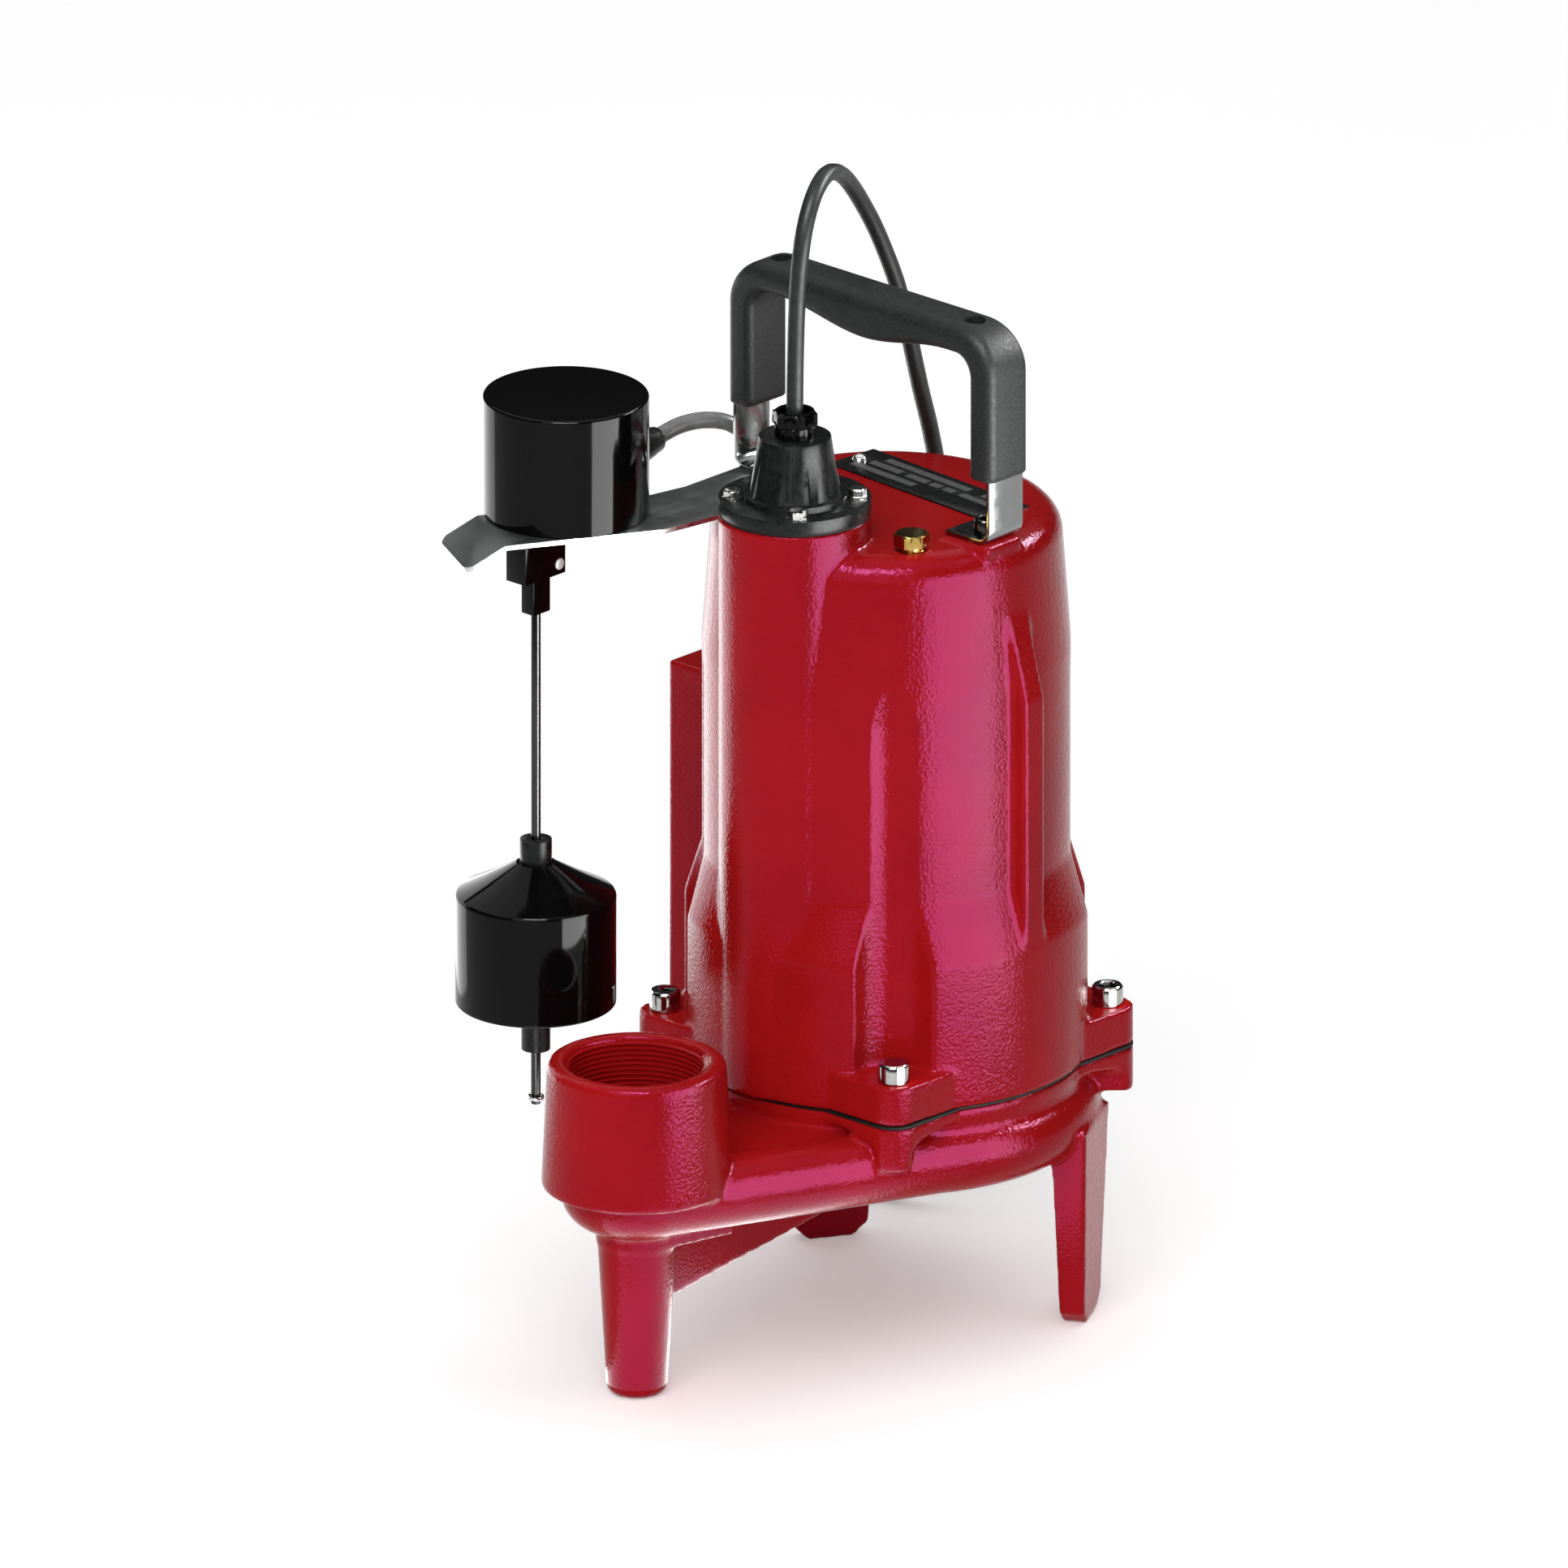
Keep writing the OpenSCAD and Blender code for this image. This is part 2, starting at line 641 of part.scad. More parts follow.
module rear_leg() intersection() {
  corner = 6;
  upright(leg_top_w) polygon([
    [leg_circle_r - leg_foot_t / 2, 0], [leg_circle_r + leg_foot_t / 2, 0],
    [leg_circle_r + leg_top_t / 2, leg_top_z], [leg_circle_r - leg_top_t / 2, leg_top_z]
  ]);
  translate([leg_circle_r, 0, 0]) rotate(90) upright(2 * leg_top_t) polygon([
    [-leg_foot_w / 2 + corner, 0], [leg_foot_w / 2 - corner, 0], [leg_foot_w / 2, corner],
    [leg_top_w / 2, leg_top_z], [-leg_top_w / 2, leg_top_z], [-leg_foot_w / 2, corner]
  ]);
}

module volute_casting() difference() {
  union() {
    scroll();
    discharge_boss();
    front_leg();
    for (a = [30, 150]) rotate(a) rear_leg();
  }
  translate([0, 0, chamber_z]) cylinder(r = chamber_r, h = passage_top - chamber_z);
  translate([0, 0, chamber_z + 1]) cylinder(r = mouth_r, h = split_z);
  cylinder(r = inlet_d / 2, h = split_z);
  // Passage from the chamber to the discharge
  translate([0, 0, chamber_z + 0.5]) linear_extrude(passage_top - chamber_z - 1) polygon([
    [(chamber_r - 3) * cos(20), -(chamber_r - 3) * sin(20)], [passage_w / 2, -discharge_reach],
    [-passage_w / 2, -discharge_reach], [(chamber_r - 8) * cos(78), -(chamber_r - 8) * sin(78)]
  ]);
  translate([0, -discharge_reach, chamber_z]) {
    cylinder(r1 = passage_w / 2, r2 = passage_r, h = 8.5);
    translate([0, 0, 8]) cylinder(r = passage_r, h = discharge_z);
  }
  translate([0, -discharge_reach, discharge_z - thread_l]) cylinder(r = thread_d / 2, h = thread_l + 1);
  translate([0, 0, volute_lug_z - 1]) at_bolts() cylinder(r = bolt_d / 2 + push_gap, h = volute_lug_h + 2);
}

// Side of the plane where the scroll ends and the discharge elbow begins
module elbow_side() translate([-200, -elbow_y - 200, -1]) cube([400, 200, 400]);

module volute() color(red) place() difference() {
  volute_casting();
  elbow_side();
}

module discharge_elbow() color(red) place() intersection() {
  volute_casting();
  elbow_side();
}

// Motor housing casting: skirt, barrel, ribs, crown, cord tower and pocket in one piece

module housing_body() rotate_extrude() {
  polygon([
    [0, housing_z], [skirt_r, housing_z], [skirt_r, housing_z + skirt_h], [barrel_r, barrel_z],
    [barrel_r, crown_z], [crown_r, top_z - crown_edge_r], [crown_r - crown_edge_r, top_z], [0, top_z]
  ]);
  translate([crown_r - crown_edge_r, top_z - crown_edge_r]) circle(crown_edge_r);
}

// Rib that stands as far out as the skirt and runs out on the crown
module housing_rib() upright(rib_w) polygon([
  [rib_root_x, housing_z + 1], [skirt_r - rib_inset, housing_z + 1],
  [skirt_r - rib_inset, crown_z - rib_drop],
  [crown_r + rib_inset, crown_z + rib_tip_h], [rib_root_x, crown_z + rib_tip_h]
]);

module housing_cavity() rotate_extrude() polygon([
  [0, housing_z - 1], [cavity_r, housing_z - 1], [cavity_r, crown_z],
  [crown_r - housing_wall, top_z - crown_edge_r - 6], [crown_r - crown_edge_r - 3, ceiling_z], [0, ceiling_z]
]);

// Groove that lets a wrench down to a flange bolt
module tool_groove() rotate_extrude() polygon([
  [0, lug_top_z], [groove_r, lug_top_z], [groove_r, groove_end_z],
  [groove_tip_r, groove_end_z + groove_tip_h], [0, groove_end_z + groove_tip_h]
]);

module motor_housing() color(red) place() difference() {
  union() {
    difference() {
      union() {
        housing_body();
        housing_rib();
        translate([0, 0, housing_z]) linear_extrude(lug_h) flange_outline();
        translate([0, -tower_reach, housing_z]) cylinder(r = tower_r, h = tower_z - housing_z);
        translate([-pocket_reach, -pocket_w / 2, housing_z]) cube([pocket_reach, pocket_w, pocket_h]);
      }
      housing_cavity();
      // Room for the capacitor in its pocket
      translate([-pocket_reach + 4, -pocket_w / 2 + 4, housing_z + housing_wall])
        cube([pocket_reach / 2, pocket_w - 8, pocket_h - 2 * housing_wall]);
      translate([0, -tower_reach, top_z - tower_bore_h])
        cylinder(r = tower_bore_r, h = tower_bore_h + tower_rise + 1);
      at_bolts() tool_groove();
    }
    // Seat of the upper bearing, and the pad under the handle's bare foot
    translate([0, 0, upper_bearing_z - 2]) ring(hub_r - 1, bearing_r + push_gap, bearing_h + 3);
    translate([strap_span / 2 - foot_pad_l, handle_y - strap_w / 2 - 1, top_z - 3])
      cube([foot_pad_l - foot_pad_inset, strap_w + 2, bracket_t + 3]);
  }
  translate([0, 0, housing_z - 1]) at_bolts() cylinder(r = bolt_hole_r, h = lug_h + 2);
  for (s = [-1, 1]) translate([s * handle_screw_x, handle_y, ceiling_z - 12])
    cylinder(r = handle_screw_hole_r, h = 30);
  translate([plug_at[0], plug_at[1], ceiling_z - 12]) cylinder(r = oil_plug_d / 2 + push_gap, h = 30);
  translate([nameplate_at[0], nameplate_at[1], top_z - 5]) rotate(nameplate_turn) for (s = [-1, 1])
    translate([s * nameplate_pin_x, 0, 0]) cylinder(r = nameplate_pin_d / 2 + push_gap, h = 6);
  translate([0, -tower_reach, tower_z - cap_screw_reach - 1]) for (a = bolt_angles) rotate(a)
    translate([cap_screw_circle_r, 0, 0]) cylinder(r = cap_screw_d / 2 + push_gap, h = cap_screw_reach + 2);
}

module flange_gasket() color(black) place() translate([0, 0, split_z]) linear_extrude(gasket_t) difference() {
  flange_outline();
  circle(cavity_r + loose_gap);
  at_bolts() circle(bolt_hole_r);
}

module flange_bolts() color(steel) place() at_bolts() difference() {
  union() {
    translate([0, 0, volute_lug_z + 1]) cylinder(d = bolt_d, h = lug_top_z - volute_lug_z);
    translate([0, 0, lug_top_z]) cylinder(d = bolt_head_d, h = bolt_head_h);
  }
  translate([0, 0, lug_top_z + bolt_head_h - 4.5]) hex(bolt_head_d / 3.6, 5);
}

// Motor pieces inside the housing

module bearing_plate() color(dark_steel) place() difference() {
  union() {
    translate([0, 0, split_z]) cylinder(r = cavity_r - push_gap, h = plate_t);
    translate([0, 0, split_z]) cylinder(r = hub_r, h = lower_bearing_z + bearing_h - split_z);
  }
  translate([0, 0, lower_bearing_z]) cylinder(r = bearing_r + push_gap, h = bearing_h + 1);
  translate([0, 0, split_z - 1]) cylinder(r = seal_d / 2 + push_gap, h = seal_h + 1);
  cylinder(r = shaft_d / 2 + 1.5, h = top_z);
  // Notch that lets the capacitor past the plate
  translate([-capacitor_x, 0, split_z - 1]) cylinder(d = capacitor_d + 2 * loose_gap, h = plate_t + 2);
}

module ring(outer_r, inner_r, h) difference() {
  cylinder(r = outer_r, h = h);
  translate([0, 0, -1]) cylinder(r = inner_r, h = h + 2);
}

module shaft_seal() color(black) place() translate([0, 0, split_z])
  ring(seal_d / 2, shaft_d / 2 + run_gap, seal_h - push_gap);

module bearing(z) color(steel) place() translate([0, 0, z]) difference() {
  ring(bearing_r, shaft_d / 2 + run_gap, bearing_h);
  for (z = [-1, bearing_h - 1]) translate([0, 0, z]) ring(bearing_r - 4, shaft_d / 2 + 4, 2);
}

module lower_bearing() bearing(lower_bearing_z);

module upper_bearing() bearing(upper_bearing_z);

module stator_core() color(dark_steel) place() translate([0, 0, stack_z])
  ring(cavity_r - push_gap, rotor_r + air_gap, stack_h);

module stator_windings() color(copper) place() for (z = [stack_z - winding_h, stack_z + stack_h])
  translate([0, 0, z]) ring(cavity_r - winding_inset, rotor_r + winding_clear, winding_h);

module capacitor() color(steel) place() translate([-capacitor_x, 0, housing_z + housing_wall]) {
  cylinder(d = capacitor_d, h = capacitor_h);
  for (y = [-5, 5]) translate([-1, y - 1, capacitor_h]) cube([2, 2, 6]);
}

// Cord entry on the tower

module at_cap_screws() for (a = bolt_angles) rotate(a) translate([cap_screw_circle_r, 0, 0]) children();

module cap_seal() color(black) place() translate([0, -tower_reach, tower_z]) difference() {
  ring(tower_r, tower_bore_r, seal_t);
  translate([0, 0, -1]) at_cap_screws() cylinder(r = cap_screw_d / 2 + loose_gap, h = seal_t + 2);
}

module cord_cap() color(charcoal) place() translate([0, -tower_reach, cap_z]) difference() {
  fin_t = 3.2;
  fin_reach = cap_foot_r + 1.6;
  union() {
    cylinder(r = cap_r, h = cap_flange_t);
    cylinder(r = cap_disc_r, h = cap_flange_t + cap_disc_h);
    translate([0, 0, cap_flange_t]) cylinder(r1 = cap_foot_r, r2 = cap_top_r, h = cap_cone_h);
    for (i = [0 : cap_fin_count - 1]) rotate((i + 0.5) * 360 / cap_fin_count) upright(fin_t) polygon([
      [0, cap_flange_t], [fin_reach, cap_flange_t], [cap_top_r, cap_flange_t + cap_cone_h - 3],
      [0, cap_flange_t + cap_cone_h - 3]
    ]);
  }
  translate([0, 0, -1]) cylinder(r = grommet_r, h = cap_flange_t + cap_cone_h - cap_roof_t + 1);
  cylinder(r = cord_hole_r, h = cap_flange_t + cap_cone_h + 1);
  translate([0, 0, -1]) at_cap_screws() cylinder(r = cap_screw_d / 2 + loose_gap, h = cap_flange_t + 2);
}

module cap_screws() color(steel) place() translate([0, -tower_reach, 0]) at_cap_screws() {
  translate([0, 0, tower_z - cap_screw_reach])
    cylinder(d = cap_screw_d, h = cap_screw_reach + seal_t + cap_flange_t);
  translate([0, 0, cap_z + cap_flange_t]) hex(cap_screw_af_r, cap_screw_head_h);
}

module cord_grommet() color(black) place()
  translate([0, -tower_reach, gland_z - cap_roof_t - grommet_h])
    ring(grommet_r - push_gap, cord_hole_r, grommet_h);

module gland_nut() color(black) place() translate([0, -tower_reach, gland_z]) difference() {
  union() {
    hex(gland_r, gland_h - 3);
    cylinder(r1 = gland_r * cos(30), r2 = gland_r * cos(30) - 1.5, h = gland_h);
  }
  translate([0, 0, -1]) cylinder(r = cord_hole_r, h = gland_h + 2);
}

// Handle

// Outline with other bends at its top than at its feet
module strap_rim(w, h, top_r, foot_r) {
  intersection() {
    rounded_square(w, h, top_r);
    translate([-w, h / 2]) square([2 * w, h]);
  }
  intersection() {
    rounded_square(w, h, foot_r);
    translate([-w, -1]) square([2 * w, h / 2 + 2]);
  }
}

module strap_outline(grow) difference() {
  outer_w = strap_span + 2 * grow;
  outer_h = strap_top_z - pad_z + 2 * grow;
  wall = strap_t + 2 * grow;
  translate([0, pad_z - grow]) strap_rim(outer_w, outer_h, strap_bend_r + grow, strap_foot_r + grow);
  translate([0, pad_z - grow + wall]) strap_rim(outer_w - 2 * wall, outer_h - 2 * wall,
    strap_bend_r + grow - wall, strap_foot_r + grow - wall);
  translate([-strap_span / 2 + strap_t + strap_foot_l, pad_z - 1])
    square([strap_span - 2 * strap_t - 2 * strap_foot_l, strap_t + 2]);
}

module handle_strap() color(steel) place() translate([0, handle_y, 0]) difference() {
  upright(strap_w) strap_outline(0);
  for (s = [-1, 1]) translate([s * handle_screw_x, 0, pad_z - 1])
    cylinder(r = handle_screw_d / 2 + loose_gap, h = strap_t + 2);
}

module grip_outline() {
  bar_z = grip_h - grip_t;
  belly_half = grip_span / 2 - 30;
  belly_r = (belly_half^2 + grip_belly^2) / (2 * grip_belly);
  translate([0, grip_z]) {
    difference() {
      union() {
        translate([-grip_span / 2, 0]) square([grip_span, grip_h - grip_corner_r]);
        rounded_square(grip_span, grip_h, grip_corner_r);
      }
      translate([0, -1]) rounded_square(grip_span - 2 * grip_t, bar_z + 1, grip_corner_r - 11);
      translate([-grip_span / 2 + grip_t, -1]) square([grip_span - 2 * grip_t, 20]);
    }
    intersection() {
      translate([0, bar_z - grip_belly + belly_r]) circle(belly_r, $fn = 128);
      translate([-belly_half - 5, bar_z - grip_belly - 1]) square([2 * belly_half + 10, grip_belly + 3]);
    }
  }
}

module handle_grip() color(charcoal) place() translate([0, handle_y, 0]) difference() {
  intersection() {
    upright(grip_w + 2) grip_outline();
    // Rounded edges along the top of the bar
    translate([-grip_span / 2 - 1, 0, grip_z - grip_h]) rotate([90, 0, 90]) linear_extrude(grip_span + 2)
      rounded_square(grip_w, 2 * grip_h, grip_edge_r);
  }
  upright(strap_w + 2 * loose_gap) strap_outline(loose_gap);
  for (s = [-1, 1]) translate([s * grip_hole_x, 0, strap_top_z]) cylinder(d = grip_hole_d, h = 20);
}

module handle_screws() color(steel) place() for (s = [-1, 1])
  translate([s * handle_screw_x, handle_y, 0]) difference() {
    head_z = pad_z + strap_t;
    union() {
      translate([0, 0, ceiling_z - 8]) cylinder(d = handle_screw_d, h = head_z - ceiling_z + 9);
      translate([0, 0, head_z]) cylinder(d = handle_screw_head_d, h = handle_screw_head_h);
    }
    translate([0, 0, head_z + handle_screw_head_h - 3]) hex(2.75, 4);
  }

// Fittings on the housing's top

module oil_plug() color(brass) place() translate([plug_at[0], plug_at[1], top_z]) {
  translate([0, 0, -10]) cylinder(d = oil_plug_d, h = 11);
  cylinder(r = oil_plug_corner_r - 0.5, h = 1.5);
  hex(oil_plug_corner_r, 7);
}

module at_nameplate() translate([nameplate_at[0], nameplate_at[1], top_z]) rotate(nameplate_turn) children();

module nameplate() color(black) place() at_nameplate() difference() {
  translate([-nameplate_size[0] / 2, -nameplate_size[1] / 2, 0]) cube(nameplate_size);
  for (s = [-1, 1]) translate([s * nameplate_pin_x, 0, -1])
    cylinder(r = nameplate_pin_d / 2 + loose_gap, h = nameplate_size[2] + 2);
}

module nameplate_pin() {
  translate([0, 0, -4]) cylinder(d = nameplate_pin_d, h = 5);
  intersection() {
    translate([0, 0, nameplate_size[2] - 1.2]) sphere(3.4);
    translate([0, 0, nameplate_size[2]]) cylinder(r = 4, h = 4);
  }
}

module nameplate_pins() color(steel) place() at_nameplate()
  for (s = [-1, 1]) translate([s * nameplate_pin_x, 0, 0]) nameplate_pin();

// Float switch on its bracket

module at_switch() translate([switch_at[0], switch_at[1], bracket_top_z]) children();

// Platform frame: its X runs across the platform, its -Y away from the arm
module at_platform() translate([switch_at[0], switch_at[1], bracket_z]) rotate(platform_turn) children();

module bracket_outline() {
  polygon([
    [arm_left_x, arm_back_y], [arm_right_x, arm_back_y], [arm_right_x, -62], [-41.4, -90],
    [-60, -110], [-80, -84], [-74.6, -66], [arm_left_x, -46]
  ]);
  translate(switch_at) rotate(platform_turn) translate([platform_left, -bend_d])
    square([platform_right - platform_left, bend_d + 30]);
}

// Side of the bend: the flat runs into the tail, which slopes down
module tail_side() {
  overlap = 6;
  run = tail_l * cos(tail_drop);
  fall = tail_l * sin(tail_drop);
  polygon([
    [-bend_d + overlap, 0], [-bend_d + overlap, bracket_t], [-bend_d, bracket_t],
    [-bend_d - run, bracket_t - fall],
    [-bend_d - run + bracket_t * sin(tail_drop), bracket_t * (1 - cos(tail_drop)) - fall],
    [-bend_d + bracket_t * tan(tail_drop / 2), 0]
  ]);
}

module platform_tail() intersection() {
  tail_w = platform_right - platform_left;
  reach = bend_d + tail_l * cos(tail_drop);
  translate([platform_left, 0, 0]) rotate([90, 0, 90]) linear_extrude(tail_w) tail_side();
  translate([(platform_left + platform_right) / 2, -reach, -tail_l])
    linear_extrude(2 * tail_l) rounded_square(tail_w + 2, reach, tail_corner_r);
}

module switch_bracket() color(steel) place() difference() {
  union() {
    translate([0, 0, bracket_z]) linear_extrude(bracket_t) bracket_outline();
    at_platform() platform_tail();
  }
  translate([-handle_screw_x, handle_y, bracket_z - 1]) cylinder(r = handle_screw_d / 2 + loose_gap, h = 20);
  at_bracket_screws(-1) cylinder(r = bracket_screw_d / 2 + loose_gap, h = bracket_t + 2);
}

// Two screws come up through the platform into the switch base
module at_bracket_screws(z) at_platform() for (s = [-1, 1])
  translate([bracket_screw_at[0], s * bracket_screw_at[1], z]) children();

module bracket_screws() color(steel) place() at_bracket_screws(0) {
  cylinder(d = bracket_screw_d, h = bracket_t + bracket_screw_l - 2);
  translate([0, 0, -2.4]) cylinder(d1 = 5, d2 = 7.4, h = 2.4);
}

module switch_base() color(black) place() difference() {
  at_switch() cylinder(r = switch_r - switch_wall - push_gap, h = 6);
  at_bracket_screws(bracket_t - 1) cylinder(r = bracket_screw_d / 2 + push_gap, h = bracket_screw_l);
}

module switch_housing() color(black) place() at_switch() difference() {
  edge = 1.2;
  rotate_extrude() polygon([
    [0, 0], [switch_r, 0], [switch_r, switch_h - edge], [switch_r - edge, switch_h], [0, switch_h]
  ]);
  translate([0, 0, -1]) cylinder(r = switch_r - switch_wall, h = switch_h - switch_wall + 1);
  translate([0, 0, switch_gland_z - bracket_top_z]) rotate(switch_gland_turn) rotate([0, 90, 0])
    cylinder(r = 6 + push_gap, h = 2 * switch_r);
}

module switch_element() color(charcoal) place() at_switch() translate([-10, -14, 6]) cube([20, 28, 24]);

module switch_gland() color(black) place() translate([switch_at[0], switch_at[1], switch_gland_z])
  rotate(switch_gland_turn) rotate([0, 90, 0]) difference() {
    face = switch_r + loose_gap;
    union() {
      translate([0, 0, switch_r - 6]) cylinder(r = 6, h = 7);
      translate([0, 0, face]) cylinder(r = 9.5, h = 4);
      translate([0, 0, face + 4]) hex(8.5, 7);
      translate([0, 0, face + 11]) cylinder(r1 = 8, r2 = 5.4, h = switch_gland_l - 11);
      translate([4, -2, face + 6]) cube([10, 4, 5]);
    }
    cylinder(r = cable_d / 2 + loose_gap, h = 100);
  }

// Float rod and its guide

module at_rod(z) translate([rod_at[0], rod_at[1], z]) children();

module block(size, h) translate([-size[0] / 2, -size[1] / 2, 0]) cube([size[0], size[1], h]);

module rod_yoke() color(black) place() difference() {
  room = [coupler_size[0] + 2 * loose_gap, coupler_size[1] + 2 * loose_gap];
  at_rod(yoke_z) block([yoke_w, yoke_l], yoke_h);
  at_rod(yoke_z - 1) block(room, yoke_h - yoke_roof + 1);
  // Room for the coupler's hook to rise over the pin
  at_rod(yoke_pin_z) translate([-room[0] / 2, 0, 0])
    cube([room[0], hook_y + loose_gap, yoke_z + yoke_h - yoke_roof - yoke_pin_z]);
  at_rod(yoke_pin_z) translate([-yoke_w, yoke_pin_y, 0]) rotate([0, 90, 0])
    cylinder(r = yoke_pin_d / 2 + push_gap, h = 2 * yoke_w);
}

module yoke_pin() color(steel) place() at_rod(yoke_pin_z)
  translate([-yoke_w / 2 - yoke_pin_out, yoke_pin_y, 0]) rotate([0, 90, 0])
    cylinder(d = yoke_pin_d, h = yoke_w + 2 * yoke_pin_out);

// The coupler hangs by its hook on the pin
module rod_coupler() color(black) place() difference() {
  union() {
    at_rod(coupler_z) block(coupler_size, coupler_top_z - coupler_z);
    at_rod(hook_z) translate([-coupler_size[0] / 2, 0, 0])
      cube([coupler_size[0], hook_y, coupler_top_z - hook_z]);
  }
  at_rod(coupler_z - 1) cylinder(r = rod_d / 2 + push_gap, h = rod_seat + 1);
}

module rod_magnet() color(dark_steel) place() at_rod(coupler_top_z) cylinder(r = 3, h = magnet_h);

module float_rod() color(dark_steel) place() at_rod(rod_end_z)
  cylinder(d = rod_d, h = rod_l + rod_seat - 0.5);

module rod_clip() color(steel) place() at_rod(clip_z) ring(clip_d / 2, rod_d / 2 + push_gap, clip_t);

module float_body() color(black) place() at_rod(0) difference() {
  edge = 2;
  rotate_extrude() polygon([
    [0, float_z], [float_d / 2 - edge, float_z], [float_d / 2, float_z + edge],
    [float_d / 2, float_cone_z - edge], [float_d / 2 - edge, float_cone_z],
    [sleeve_top_d / 2 + 3, float_top_z], [0, float_top_z]
  ]);
  translate([0, 0, float_z - 1]) cylinder(r = sleeve_d / 2 + push_gap, h = float_top_z);
}

module float_sleeve() color(charcoal) place() at_rod(0) difference() {
  union() {
    translate([0, 0, sleeve_bottom_z]) cylinder(d = sleeve_d, h = float_top_z - sleeve_bottom_z);
    translate([0, 0, float_top_z]) cylinder(d = sleeve_top_d, h = sleeve_collar_h);
  }
  cylinder(r = rod_d / 2 + push_gap, h = top_z);
}

// Rotor

module shaft() color(steel) place() {
  translate([0, 0, impeller_hub_z]) cylinder(d = shaft_d, h = ceiling_z - 1 - impeller_hub_z);
  translate([0, 0, stub_z]) cylinder(d = stub_d, h = impeller_hub_z - stub_z + 1);
}

module rotor_core() color(dark_steel) place() translate([0, 0, stack_z])
  ring(rotor_r, shaft_d / 2 + push_gap / 4, stack_h);

module impeller() color(charcoal) place() difference() {
  union() {
    translate([0, 0, impeller_back_z - impeller_back_t]) cylinder(r = impeller_r, h = impeller_back_t);
    translate([0, 0, impeller_hub_z]) cylinder(r = impeller_hub_r, h = impeller_back_z - impeller_hub_z);
    translate([0, 0, vane_z]) linear_extrude(impeller_back_z - 1 - vane_z) for (i = [0 : vane_count - 1])
      rotate((i + 0.2) * 360 / vane_count) intersection() {
        translate([vane_arc_r, 0]) difference() {
          circle(vane_arc_r);
          circle(vane_arc_r - vane_t);
        }
        translate([impeller_hub_r / 2, 1]) square(impeller_r);
      }
  }
  cylinder(r = shaft_d / 2 + push_gap / 4, h = split_z);
}

module impeller_nut() color(steel) place() translate([0, 0, impeller_hub_z - nut_h]) difference() {
  hex(nut_r, nut_h);
  translate([0, 0, -1]) cylinder(r = stub_d / 2 + push_gap / 4, h = nut_h + 2);
}

// Cords, coils and plugs

module coil_tie(z, d, turns, angle) {
  pitch = d + coil_gap;
  inner = coil_r - turns / coil_layers * pitch - d / 2 - tie_gap;
  outer = coil_r + d / 2 + tie_gap;
  low = z - d / 2 - tie_gap;
  high = z + (coil_layers - 1) * pitch + d / 2 + tie_gap;
  color(black) place() translate([coil_at[0], coil_at[1], 0]) rotate(angle) difference() {
    translate([inner - tie_t, -tie_w / 2, low - tie_t])
      cube([outer - inner + 2 * tie_t, tie_w, high - low + 2 * tie_t]);
    translate([inner, -tie_w, low]) cube([outer - inner, 2 * tie_w, high - low]);
  }
}

// Stands at the end of a tail and looks along it
module at_tail(route) {
  a = route[len(route) - 2];
  b = route[len(route) - 1];
  translate(b) rotate(atan2(b[1] - a[1], b[0] - a[0])) children();
}

module plug_body(d) {
  rotate([0, 90, 0]) cylinder(r1 = d / 2 + 1.4, r2 = 8, h = 16);
  translate([14, 0, 0]) {
    rotate([0, 90, 0]) cylinder(d = plug_t - 2, h = plug_l - 14);
    translate([6, -plug_w / 2, -plug_t / 2 + 1.5]) cube([plug_l - 20, plug_w, plug_t - 3]);
  }
}

module plug_blades() translate([plug_l, 0, 0]) {
  for (y = [-blade_y, blade_y]) translate([0, y - blade_size[2] / 2, 1])
    cube([blade_size[0], blade_size[2], blade_size[1]]);
  translate([0, 0, -7]) rotate([0, 90, 0]) cylinder(d = 4.8, h = 20);
}

module power_cord() color(charcoal) place() tube(smooth_path(power_route, 3), cord_d / 2, 10);

module power_coil() color(charcoal) place() tube(coil_path(power_turns, power_coil_z, cord_d), cord_d / 2, 6);

module power_coil_tie() coil_tie(power_coil_z, cord_d, power_turns, 0);

module power_tail() color(charcoal) place() tube(smooth_path(power_tail_route, 2), cord_d / 2, 10);

module power_plug() color(charcoal) place() at_tail(power_tail_route) plug_body(cord_d);

module power_plug_blades() color(brass) place() at_tail(power_tail_route) plug_blades();

module switch_cable() color(charcoal) place() tube(smooth_path(switch_route, 3), cable_d / 2, 10);

module switch_coil() color(charcoal) place()
  tube(coil_path(switch_turns, switch_coil_z, cable_d), cable_d / 2, 6);

module switch_coil_tie() coil_tie(switch_coil_z, cable_d, switch_turns, 180);

module switch_tail() color(charcoal) place() tube(smooth_path(switch_tail_route, 2), cable_d / 2, 10);

module switch_plug() color(black) place() at_tail(switch_tail_route) difference() {
  plug_body(cable_d);
  // Sockets in the back of the piggyback plug
  for (y = [-blade_y, blade_y]) translate([16, y - 1, 1]) cube([18, 2, 7]);
}

module switch_plug_blades() color(brass) place() at_tail(switch_tail_route) plug_blades();

